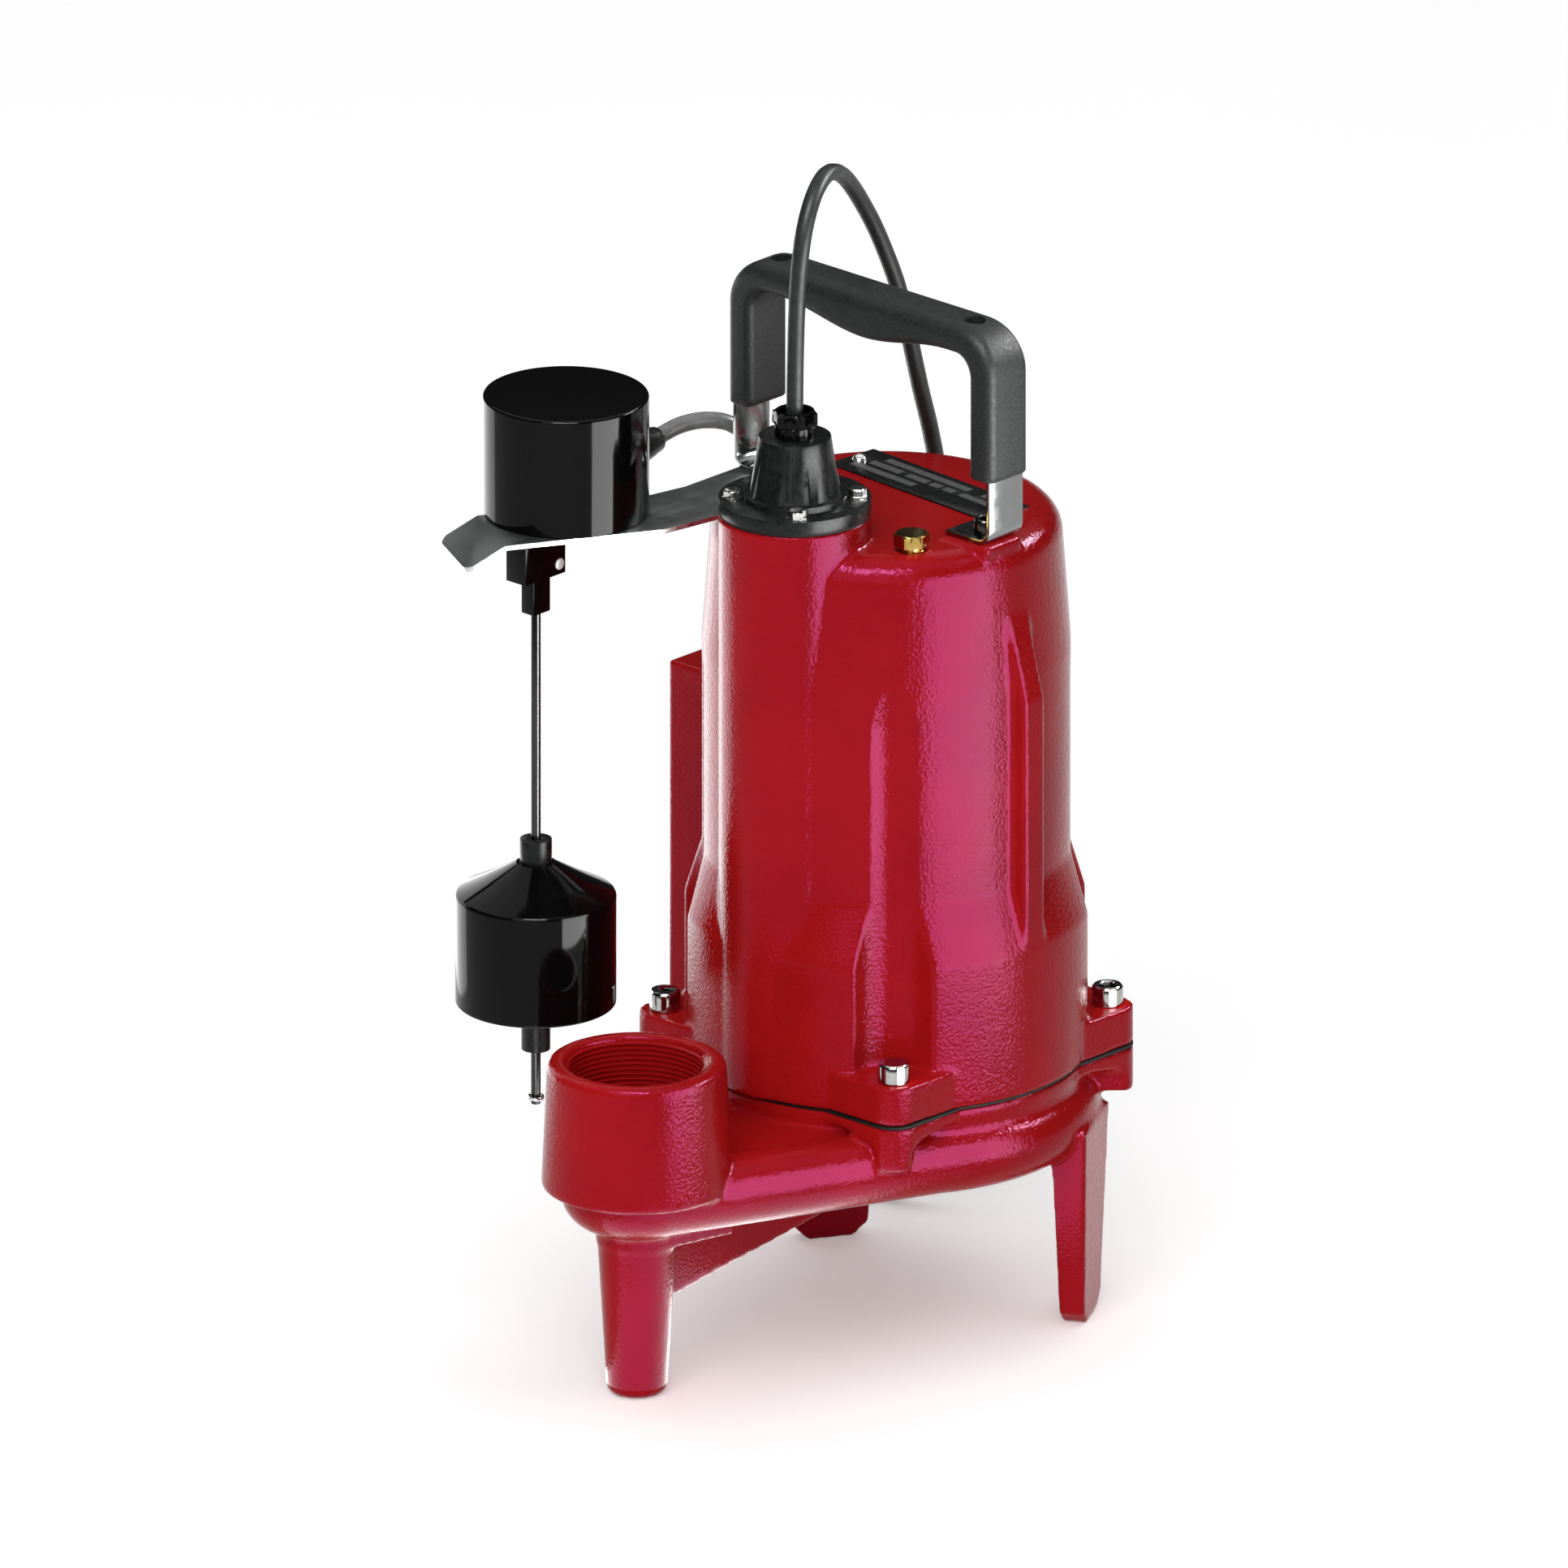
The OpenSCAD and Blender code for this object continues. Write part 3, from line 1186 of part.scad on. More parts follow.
volute();
discharge_elbow();
motor_housing();
flange_gasket();
flange_bolts();
bearing_plate();
shaft_seal();
lower_bearing();
upper_bearing();
stator_core();
stator_windings();
capacitor();
cap_seal();
cord_cap();
cap_screws();
cord_grommet();
gland_nut();
handle_strap();
handle_grip();
handle_screws();
oil_plug();
nameplate();
nameplate_pins();
switch_bracket();
switch_base();
switch_housing();
switch_element();
switch_gland();
rod_yoke();
yoke_pin();
bracket_screws();
shaft();
rotor_core();
impeller();
impeller_nut();
float_rod();
rod_coupler();
rod_magnet();
rod_clip();
float_body();
float_sleeve();
power_cord();
power_coil();
power_coil_tie();
power_tail();
power_plug();
power_plug_blades();
switch_cable();
switch_coil();
switch_coil_tie();
switch_tail();
switch_plug();
switch_plug_blades();
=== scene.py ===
"""Looks of the submersible sump pump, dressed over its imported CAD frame."""

import json
import math

import bmesh
import bpy
from mathutils import Matrix, Vector

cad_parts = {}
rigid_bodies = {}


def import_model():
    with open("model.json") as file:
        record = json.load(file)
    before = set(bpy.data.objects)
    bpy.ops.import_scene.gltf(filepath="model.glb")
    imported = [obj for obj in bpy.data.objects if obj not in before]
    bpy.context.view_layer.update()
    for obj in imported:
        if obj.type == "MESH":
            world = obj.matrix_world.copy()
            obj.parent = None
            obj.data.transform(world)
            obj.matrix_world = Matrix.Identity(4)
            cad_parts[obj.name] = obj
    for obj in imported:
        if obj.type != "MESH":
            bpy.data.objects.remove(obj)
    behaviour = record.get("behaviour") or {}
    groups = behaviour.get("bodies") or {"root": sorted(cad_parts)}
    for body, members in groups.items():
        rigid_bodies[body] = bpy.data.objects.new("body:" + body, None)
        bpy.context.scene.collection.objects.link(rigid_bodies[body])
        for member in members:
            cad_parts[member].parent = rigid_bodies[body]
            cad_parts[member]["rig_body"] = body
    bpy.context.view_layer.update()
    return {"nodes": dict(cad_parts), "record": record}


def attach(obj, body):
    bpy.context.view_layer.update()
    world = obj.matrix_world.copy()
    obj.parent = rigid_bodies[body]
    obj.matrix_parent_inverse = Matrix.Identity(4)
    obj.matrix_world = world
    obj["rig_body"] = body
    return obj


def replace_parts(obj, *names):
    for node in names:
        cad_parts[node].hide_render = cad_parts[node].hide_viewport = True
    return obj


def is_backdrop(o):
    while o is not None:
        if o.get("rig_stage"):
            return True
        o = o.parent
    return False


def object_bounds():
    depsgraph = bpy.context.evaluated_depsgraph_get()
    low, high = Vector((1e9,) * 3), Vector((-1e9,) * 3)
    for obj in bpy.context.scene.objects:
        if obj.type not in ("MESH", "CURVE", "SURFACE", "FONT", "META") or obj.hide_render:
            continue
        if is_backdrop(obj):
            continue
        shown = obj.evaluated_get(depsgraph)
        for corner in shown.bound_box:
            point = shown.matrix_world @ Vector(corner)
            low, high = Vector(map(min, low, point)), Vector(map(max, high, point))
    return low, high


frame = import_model()
nodes = frame["nodes"]
node_body = {n: o["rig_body"] for n, o in nodes.items()}
node_slot = {s["node"]: s["material_slot"] for s in frame["record"]["subparts"]}
scene = bpy.context.scene
scene.view_settings.view_transform = "Standard"

# Points below are in millimetres about the motor axis; the frame's origin lies here from it.
AXIS = (16.0, 51.0)

# Places that several pieces share, in those millimetres
TOP_Z = 349.5
TOWER_Y = -55.3
HANDLE_Y = -5.0
SCREW_ANGLES = [math.radians(a) for a in (45, 135, 225, 315)]


def at(x, y, z):
    return Vector(((x + AXIS[0]) / 1000, (y + AXIS[1]) / 1000, z / 1000))


# Camera


AZIMUTH, ELEVATION = math.radians(43), math.radians(20)
RIGHT = Vector((math.cos(AZIMUTH), math.sin(AZIMUTH), 0))
BACK = Vector(
    (
        math.sin(AZIMUTH) * math.cos(ELEVATION),
        -math.cos(AZIMUTH) * math.cos(ELEVATION),
        math.sin(ELEVATION),
    )
)
UP = BACK.cross(RIGHT)
cam = bpy.data.objects.new("camera", bpy.data.cameras.new("camera"))
scene.collection.objects.link(cam)
cam.data.type = "ORTHO"
cam.data.ortho_scale = 0.6472
cam.data.clip_end = 50
# The picture's middle lies 42.2 mm left of the motor axis and 212.4 mm up in the picture plane.
cam.location = at(0, 0, 0) + RIGHT * -0.0422 + UP * 0.2124 + BACK * 3
cam.rotation_euler = BACK.to_track_quat("Z", "Y").to_euler()
scene.camera = cam


# Materials


def principled(name, color, rough, metallic=0.0, specular=0.5, tint=(1, 1, 1)):
    m = bpy.data.materials.new(name)
    m.use_nodes = True
    b = m.node_tree.nodes["Principled BSDF"]
    b.inputs["Base Color"].default_value = (*color, 1)
    b.inputs["Roughness"].default_value = rough
    b.inputs["Metallic"].default_value = metallic
    b.inputs["Specular IOR Level"].default_value = specular
    b.inputs["Specular Tint"].default_value = (*tint, 1)
    return m


EVEN = (1, 1, 1)
# The middle part of a noise, where most of its values lie
NOISE_LOW, NOISE_HIGH = 0.35, 0.65


def noise(m, scale, detail, stretch):
    n, l = m.node_tree.nodes, m.node_tree.links
    coord = n.new("ShaderNodeTexCoord")
    mapping = n.new("ShaderNodeMapping")
    mapping.inputs["Scale"].default_value = stretch
    tex = n.new("ShaderNodeTexNoise")
    tex.inputs["Scale"].default_value = scale
    tex.inputs["Detail"].default_value = detail
    l.new(coord.outputs["Object"], mapping.inputs["Vector"])
    l.new(mapping.outputs["Vector"], tex.inputs["Vector"])
    return tex


def vary_color(m, low, high, scale, detail=3.0, stretch=EVEN):
    n, l = m.node_tree.nodes, m.node_tree.links
    ramp = n.new("ShaderNodeValToRGB")
    ends = zip(ramp.color_ramp.elements, (NOISE_LOW, NOISE_HIGH), (low, high))
    for element, position, color in ends:
        element.position, element.color = position, (*color, 1)
    l.new(noise(m, scale, detail, stretch).outputs["Fac"], ramp.inputs["Fac"])
    l.new(ramp.outputs["Color"], n["Principled BSDF"].inputs["Base Color"])


def vary_rough(m, low, high, scale, detail=3.0, stretch=EVEN):
    n, l = m.node_tree.nodes, m.node_tree.links
    span = n.new("ShaderNodeMapRange")
    span.inputs["From Min"].default_value = NOISE_LOW
    span.inputs["From Max"].default_value = NOISE_HIGH
    span.inputs["To Min"].default_value = low
    span.inputs["To Max"].default_value = high
    l.new(noise(m, scale, detail, stretch).outputs["Fac"], span.inputs["Value"])
    l.new(span.outputs["Result"], n["Principled BSDF"].inputs["Roughness"])


def bump(m, *layers):
    """Each layer is (scale, strength, distance in metres, stretch)."""
    n, l = m.node_tree.nodes, m.node_tree.links
    last = None
    for scale, strength, distance, stretch in layers:
        node = n.new("ShaderNodeBump")
        node.inputs["Strength"].default_value = strength
        node.inputs["Distance"].default_value = distance
        l.new(noise(m, scale, 2.0, stretch).outputs["Fac"], node.inputs["Height"])
        if last:
            l.new(last.outputs["Normal"], node.inputs["Normal"])
        last = node
    l.new(last.outputs["Normal"], n["Principled BSDF"].inputs["Normal"])


red = principled("red_enamel", (0.4, 0.008, 0.009), 0.1, specular=0.13, tint=(1, 0.2, 0.7))
vary_color(red, (0.37, 0.007, 0.008), (0.43, 0.009, 0.01), 22)
vary_rough(red, 0.07, 0.11, 60)
bump(red, (700, 0.6, 0.0004, EVEN), (110, 0.06, 0.0012, EVEN))

black_gloss = principled("black_gloss", (0.003, 0.003, 0.0034), 0.07, specular=0.1)
vary_rough(black_gloss, 0.05, 0.1, 40)
bump(black_gloss, (25, 0.02, 0.001, EVEN))

grip_black = principled("grip_black", (0.016, 0.018, 0.018), 0.5, specular=0.2)
vary_color(grip_black, (0.012, 0.013, 0.013), (0.022, 0.024, 0.024), 800)
vary_rough(grip_black, 0.42, 0.58, 500)
bump(grip_black, (1500, 0.25, 0.0003, EVEN))

satin_black = principled("satin_black", (0.009, 0.01, 0.01), 0.3, specular=0.16)
vary_color(satin_black, (0.007, 0.008, 0.008), (0.012, 0.013, 0.013), 300)
vary_rough(satin_black, 0.25, 0.36, 300)
bump(satin_black, (900, 0.12, 0.0003, EVEN))

gasket_black = principled("gasket_black", (0.005, 0.005, 0.005), 0.7, specular=0.12)
vary_color(gasket_black, (0.003, 0.003, 0.003), (0.008, 0.008, 0.008), 400)
bump(gasket_black, (700, 0.2, 0.0003, EVEN))

cord_black = principled("cord_black", (0.02, 0.023, 0.022), 0.4, specular=0.2)
vary_color(cord_black, (0.016, 0.019, 0.018), (0.024, 0.027, 0.026), 250)
vary_rough(cord_black, 0.38, 0.5, 300)
bump(cord_black, (900, 0.1, 0.0002, EVEN))

cable_grey = principled("cable_grey", (0.2, 0.205, 0.2), 0.4, specular=0.3)
vary_color(cable_grey, (0.17, 0.175, 0.17), (0.23, 0.235, 0.23), 250)
vary_rough(cable_grey, 0.34, 0.48, 300)
bump(cable_grey, (900, 0.1, 0.0002, EVEN))

stainless = principled("stainless", (0.22, 0.23, 0.225), 0.16, 1)
vary_color(stainless, (0.21, 0.22, 0.215), (0.23, 0.24, 0.235), 60)
vary_rough(stainless, 0.13, 0.2, 300)
bump(stainless, (1200, 0.04, 0.0002, EVEN))

dull_stainless = principled("dull_stainless", (0.12, 0.128, 0.124), 0.42, 1)
vary_color(dull_stainless, (0.11, 0.118, 0.114), (0.13, 0.138, 0.134), 45, 4)
vary_rough(dull_stainless, 0.38, 0.46, 120, 4)
bump(dull_stainless, (1200, 0.05, 0.0002, EVEN))

# Painted highlight: a much lighter colour for the bracket's side faces, standing in for light caught along
# the sheet's edges
painted_edge_highlight = principled("painted_edge_highlight", (0.62, 0.63, 0.62), 0.3, 1)
vary_color(painted_edge_highlight, (0.58, 0.59, 0.58), (0.66, 0.67, 0.66), 200)
vary_rough(painted_edge_highlight, 0.25, 0.36, 300)
bump(painted_edge_highlight, (1200, 0.05, 0.0002, EVEN))

pin_end = principled("pin_end", (0.6, 0.6, 0.58), 0.5, 0.3)
vary_color(pin_end, (0.56, 0.56, 0.54), (0.64, 0.64, 0.62), 300)
vary_rough(pin_end, 0.45, 0.55, 300)
bump(pin_end, (900, 0.05, 0.0002, EVEN))

bright = principled("bright_steel", (0.62, 0.62, 0.6), 0.16, 1)
vary_color(bright, (0.55, 0.55, 0.53), (0.68, 0.68, 0.66), 300)
vary_rough(bright, 0.1, 0.22, 500)
bump(bright, (900, 0.08, 0.0002, EVEN))

bolt_steel = principled("bolt_steel", (0.4, 0.4, 0.38), 0.06, 1)
vary_color(bolt_steel, (0.36, 0.36, 0.34), (0.44, 0.44, 0.42), 300)
vary_rough(bolt_steel, 0.05, 0.09, 500)
bump(bolt_steel, (900, 0.05, 0.0002, EVEN))

machined = principled("machined_steel", (0.42, 0.43, 0.44), 0.28, 1)
vary_color(machined, (0.38, 0.39, 0.4), (0.46, 0.47, 0.48), 200, 3, (1, 1, 8))
vary_rough(machined, 0.2, 0.34, 600, 3, (1, 1, 12))
bump(machined, (2200, 0.05, 0.0002, (0.2, 0.2, 3)))

dark_steel = principled("dark_steel", (0.045, 0.045, 0.045), 0.14, 1)
vary_color(dark_steel, (0.035, 0.035, 0.035), (0.055, 0.055, 0.055), 200, 3, (1, 1, 8))
vary_rough(dark_steel, 0.1, 0.2, 600, 3, (1, 1, 12))
bump(dark_steel, (2200, 0.05, 0.0002, (0.2, 0.2, 3)))

iron = principled("bare_iron", (0.13, 0.13, 0.135), 0.6, 0.6)
vary_color(iron, (0.1, 0.1, 0.105), (0.17, 0.17, 0.175), 180)
vary_rough(iron, 0.5, 0.7, 300)
bump(iron, (500, 0.3, 0.0005, EVEN))

brass = principled("brass", (0.38, 0.25, 0.07), 0.14, 1)
vary_color(brass, (0.34, 0.22, 0.06), (0.42, 0.28, 0.08), 250)
vary_rough(brass, 0.1, 0.18, 400)
bump(brass, (1400, 0.06, 0.0002, EVEN))

copper = principled("copper", (0.45, 0.16, 0.06), 0.35, 1)
vary_color(copper, (0.38, 0.12, 0.04), (0.5, 0.2, 0.08), 400)
bump(copper, (700, 0.4, 0.0006, (1, 1, 0.3)))

plate_black = principled("plate_black", (0.007, 0.008, 0.008), 0.3, specular=0.2)
vary_rough(plate_black, 0.24, 0.36, 300)
bump(plate_black, (400, 0.05, 0.0002, EVEN))

plate_grey = principled("plate_grey", (0.13, 0.135, 0.13), 0.32, 0.3)
vary_color(plate_grey, (0.12, 0.125, 0.12), (0.15, 0.155, 0.15), 400)
bump(plate_grey, (400, 0.05, 0.0002, EVEN))

SLOT_MATERIAL = {
    "red_enamel": red,
    "black_gloss": black_gloss,
    "black_satin": satin_black,
    "stainless": stainless,
    "bright_steel": bright,
    "machined_steel": machined,
    "iron": iron,
    "brass": brass,
    "copper": copper,
    "rubber": gasket_black,
    "cord_jacket": cord_black,
    "cable_jacket": cable_grey,
    "plate_print": plate_black,
}


# Making pieces


def new_object(name, mesh, mat, body):
    ob = bpy.data.objects.new(name, mesh)
    scene.collection.objects.link(ob)
    ob.data.materials.clear()
    ob.data.materials.append(mat)
    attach(ob, body)
    return ob


def sharp_by_angle(mesh, degrees):
    """Smooth shading, with the edges that turn further than this left sharp."""
    bm = bmesh.new()
    bm.from_mesh(mesh)
    limit = math.radians(degrees)
    for f in bm.faces:
        f.smooth = True
    for e in bm.edges:
        e.smooth = len(e.link_faces) == 2 and e.calc_face_angle(0) < limit
    bm.to_mesh(mesh)
    bm.free()


def mesh_from(name, verts, faces, degrees=35):
    mesh = bpy.data.meshes.new(name)
    mesh.from_pydata([tuple(v) for v in verts], [], faces)
    mesh.validate()
    bm = bmesh.new()
    bm.from_mesh(mesh)
    bmesh.ops.remove_doubles(bm, verts=bm.verts, dist=1e-6)
    bmesh.ops.recalc_face_normals(bm, faces=bm.faces)
    bm.to_mesh(mesh)
    bm.free()
    sharp_by_angle(mesh, degrees)
    return mesh


def rings_to_mesh(rings):
    """Joins rings of equally many points into a closed skin."""
    count = len(rings[0])
    verts = [p for ring in rings for p in ring]
    faces = []
    for i in range(len(rings) - 1):
        for k in range(count):
            a, b = i * count + k, i * count + (k + 1) % count
            faces.append((a, b, b + count, a + count))
    faces.append(tuple(range(count - 1, -1, -1)))
    faces.append(tuple(range(len(verts) - count, len(verts))))
    return verts, faces


def lathe(name, profile, centre, segments=96, degrees=30):
    """A turned piece about a vertical axis: profile is (radius, height) in millimetres."""
    rings = [
        [
            at(
                centre[0] + r * math.cos(2 * math.pi * k / segments),
                centre[1] + r * math.sin(2 * math.pi * k / segments),
                z,
            )
            for k in range(segments)
        ]
        for r, z in profile
    ]
    return mesh_from(name, *rings_to_mesh(rings), degrees)


def dressed_mesh(node, bevel):
    """A CAD node's mesh with flat faces made whole, and its edges broken by a bevel in millimetres."""
    bm = bmesh.new()
    bm.from_mesh(nodes[node].data)
    bmesh.ops.remove_doubles(bm, verts=bm.verts, dist=2e-6)
    bmesh.ops.dissolve_limit(bm, angle_limit=math.radians(0.5), verts=bm.verts, edges=bm.edges)
    if bevel:
        corner = math.radians(30)
        edges = [e for e in bm.edges if len(e.link_faces) == 2 and e.calc_face_angle(0) > corner]
        bmesh.ops.bevel(
            bm,
            geom=edges,
            offset=bevel / 1000,
            segments=2,
            profile=0.5,
            affect="EDGES",
            clamp_overlap=True,
        )
    bmesh.ops.recalc_face_normals(bm, faces=bm.faces)
    mesh = bpy.data.meshes.new(node)
    bm.to_mesh(mesh)
    bm.free()
    sharp_by_angle(mesh, 40)
    return mesh


def dress(node, mat, bevel):
    mesh = dressed_mesh(node, bevel)
    ob = new_object(node + "_piece", mesh, mat, node_body[node])
    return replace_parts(ob, node)


def cast(name, mat, *made_of):
    """CAD nodes as one casting: their sharp corners melt into small fillets."""
    voxel, rounds = 1.2, 6
    bm = bmesh.new()
    for node in made_of:
        bm.from_mesh(nodes[node].data)
    bmesh.ops.remove_doubles(bm, verts=bm.verts, dist=2e-6)
    mesh = bpy.data.meshes.new(name)
    bm.to_mesh(mesh)
    bm.free()
    tmp = bpy.data.objects.new(name + "_tmp", mesh)
    scene.collection.objects.link(tmp)
    remesh = tmp.modifiers.new("remesh", "REMESH")
    remesh.mode = "VOXEL"
    remesh.voxel_size = voxel / 1000
    smooth = tmp.modifiers.new("smooth", "SMOOTH")
    smooth.factor = 0.5
    smooth.iterations = rounds
    made = bpy.data.meshes.new_from_object(tmp.evaluated_get(bpy.context.evaluated_depsgraph_get()))
    bpy.data.objects.remove(tmp)
    for p in made.polygons:
        p.use_smooth = True
    ob = new_object(name, made, mat, node_body[made_of[0]])
    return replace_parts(ob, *made_of)


# Cords


def spline(a, b, c, d, t):
    return (b * 2 + (c - a) * t + (a * 2 - b * 5 + c * 4 - d) * t**2 + (b * 3 - a - c * 3 + d) * t**3) / 2


def smooth_path(points, steps):
    p = [Vector(q) for q in points]
    out = []
    for i in range(len(p) - 1):
        for k in range(steps):
            out.append(spline(p[max(i - 1, 0)], p[i], p[i + 1], p[min(i + 2, len(p) - 1)], k / steps))
    return out + [p[-1]]


POWER_ROUTE = [
    (0, -55.3, 396), (0, -55.3, 406), (0.5, -55.6, 424), (2.3, -56.5, 452), (3.1, -55.4, 471.6),
    (2.1, -51, 486.1), (-1, -42, 496.7), (-6.1, -29.5, 500.2), (-11.5, -16.5, 496), (-16.2, -4.6, 487),
    (-20.2, 8.3, 472.6), (-22.1, 19.3, 456.1), (-23.2, 31.6, 431.1), (-25.3, 41.2, 405),
    (-29, 51.7, 379.3), (-34.6, 64.1, 355), (-39.2, 73.7, 329.3), (-43.9, 83.8, 274.5), (-47, 89, 220),
    (-49, 93, 160), (-51, 96, 100), (-53, 97, 60), (-58, 96, 30), (-72, 91, 10), (-92, 84, 4.5),
    (-112, 80.6, 5), (-124, 80, 5.3), (-132, 80, 5.3),
]
SWITCH_ROUTE = [
    (-93.1, -46.3, 364.5), (-93.9, -40, 364.5), (-94.3, -34, 365.5), (-92.5, -25, 367.5),
    (-88, -16, 368.3), (-83.5, -6, 365.5), (-81, 4, 357), (-80.8, 11, 344), (-82, 20, 325),
    (-85.5, 32, 295), (-89.5, 42, 260), (-92, 47, 200), (-93, 50, 140), (-94, 54, 96),
    (-98, 62, 66), (-106, 71, 48), (-117, 77.5, 39.5), (-126, 80, 37.5), (-132, 80, 37.5),
]
POWER_TAIL = [
    (-181.1, 100.4, 28.4), (-184.6, 103.9, 28.4), (-190.5, 109.9, 27.8), (-197, 117.2, 25.6),
    (-202.3, 125, 22), (-205.8, 133.6, 18), (-206.8, 142, 15), (-205.6, 149.4, 13.5), (-203.5, 155, 13.2),
]
SWITCH_TAIL = [
    (-190, 138.1, 60), (-190, 143.1, 60), (-188.4, 151.6, 60.4), (-182.6, 161.6, 62), (-173, 170.3, 64.6),
    (-160.4, 176.3, 68.2), (-146.5, 178.3, 72), (-132.5, 176, 75.3), (-124.2, 170.5, 76),
]
COIL_AT, COIL_R, COIL_LAYERS = (-140.0, 130.0), 50.0, 4


def ease(x):
    c = max(0.0, min(1.0, x))
    return c * c * (3 - 2 * c)


def coil_path(turns, z, d, per_turn=36):
    pitch, n = d + 0.5, turns / COIL_LAYERS
    out = []
    count = round(turns * per_turn)
    for i in range(count + 1):
        s = turns * i / count
        k = min(int(s / n), COIL_LAYERS - 1)
        f = s / n - k
        r = COIL_R - n * pitch * (f if k % 2 == 0 else 1 - f)
        h = pitch * sum(ease((s - j * n) * 2 + 0.5) for j in range(1, COIL_LAYERS))
        a = math.radians(-90 - 360 * s)
        out.append(Vector((COIL_AT[0] + r * math.cos(a), COIL_AT[1] + r * math.sin(a), z + h)))
    return out


def cord(name, route, tail, turns, z, d, mat, replaced):
    path = smooth_path(route, 8) + coil_path(turns, z, d) + smooth_path(tail, 6)
    points = [path[0]]
    for p in path[1:]:
        if (p - points[-1]).length > 0.3:
            points.append(p)
    points = [at(*p) for p in points]
    curve = bpy.data.curves.new(name, "CURVE")
    curve.dimensions = "3D"
    line = curve.splines.new("POLY")
    line.points.add(len(points) - 1)
    for point, p in zip(line.points, points):
        point.co = (*p, 1)
    line.use_smooth = True
    curve.bevel_depth = d / 2000
    curve.bevel_resolution = 4
    curve.use_fill_caps = True
    ob = new_object(name, curve, mat, "pump")
    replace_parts(ob, *replaced)
    return ob


power_tie = dress("power_coil_tie", satin_black, 0.4)
power_plug = dress("power_plug", cord_black, 1.2)
power_blades = dress("power_plug_blades", brass, 0.3)
switch_tie = dress("switch_coil_tie", satin_black, 0.4)
switch_plug = dress("switch_plug", gasket_black, 0.6)
switch_blades = dress("switch_plug_blades", brass, 0.3)
cord(
    "power_lead", POWER_ROUTE, POWER_TAIL, 9.125, 5.3, 7.2, cord_black,
    ["power_cord", "power_coil", "power_tail"],
)
cord(
    "switch_lead", SWITCH_ROUTE, SWITCH_TAIL, 9.25, 37.5, 7.0, cable_grey,
    ["switch_cable", "switch_coil", "switch_tail"],
)


# Castings, grip and sheet metal

cast("volute_casting", red, "volute", "discharge_elbow")
cast("motor_casting", red, "motor_housing")
dress("handle_strap", stainless, 0.35)
bracket = dress("switch_bracket", dull_stainless, 0.2)
# The sheet's side faces take the painted edge highlight; its top and bottom keep the dull stainless
bracket.data.materials.append(painted_edge_highlight)
for p in bracket.data.polygons:
    p.material_index = 1 if abs(p.normal.z) < 0.5 else 0
dress("flange_gasket", gasket_black, 0)
dress("cap_seal", gasket_black, 0)
dress("cord_cap", satin_black, 0.5)
dress("switch_gland", satin_black, 0.4)
dress("rod_yoke", black_gloss, 0.3)
dress("rod_coupler", black_gloss, 0.3)
dress("yoke_pin", pin_end, 0.3)
dress("nameplate", plate_black, 0.15)
dress("nameplate_pins", bright, 0)
dress("float_rod", dark_steel, 0.3)
dress("rod_clip", bright, 0.2)
dress("float_sleeve", satin_black, 0.5)
dress("bracket_screws", bright, 0.3)


# Grip: a rounded section swept round the strap

GRIP_LOW, GRIP_W, GRIP_END_R = 380.0, 24.0, 0.8


def grip_sections():
    """Outer and inner points of the grip's middle plane, with its outer and inner edge radii."""
    half, wall, corner, inner = 74.5, 13.0, 20.0, 9.0
    low, high = GRIP_LOW, 445.0
    belly, belly_half = 6.5, 47
    side = []
    for i in range(13):
        f = i / 12
        o = (-half, low + (high - corner - low) * f)
        q = (-half + wall, low + (high - wall - inner - low) * f)
        side.append((o, q, 4.0, 3.4))
    for i in range(1, 15):
        f = ease(i / 14)
        a = math.radians(180 - 90 * i / 14)
        o = (-half + corner * (1 + math.cos(a)), high - corner * (1 - math.sin(a)))
        q = (-half + wall + inner * (1 + math.cos(a)), high - wall - inner * (1 - math.sin(a)))
        side.append((o, q, 4.0 + 3.0 * f, 3.4 + 1.6 * f))
    for i in range(1, 25):
        f = i / 24
        x = (-half + wall + inner) * (1 - f)
        drop = belly * ease(1 - abs(x) / belly_half)
        side.append((((-half + corner) * (1 - f), high), (x, high - wall - drop), 7.0, 5.0))
    mirrored = [((-o[0], o[1]), (-q[0], q[1]), ro, ri) for o, q, ro, ri in side[-2::-1]]
    return side + mirrored


def grip_ring(o, q, outer_r, inner_r, inset=0.0):
    """A rounded rectangle between an outer and an inner point of the grip."""
    deep = math.dist(o, q)
    along = ((o[0] - q[0]) / deep, (o[1] - q[1]) / deep)
    half, steps, ring = GRIP_W / 2 - inset, 7, []
    corners = [(deep - inset, half, outer_r, 0), (deep - inset, -half, outer_r, 270)]
    corners += [(inset, -half, inner_r, 180), (inset, half, inner_r, 90)]
    for u, v, r, start in corners:
        cu, cv = u - math.copysign(r, u - deep / 2), v - math.copysign(r, v)
        for k in range(steps + 1):
            a = math.radians(start + 90 - 90 * k / steps)
            ring.append((cu + r * math.cos(a), cv + r * math.sin(a)))
    return [at(q[0] + along[0] * u, HANDLE_Y + v, q[1] + along[1] * u) for u, v in ring]


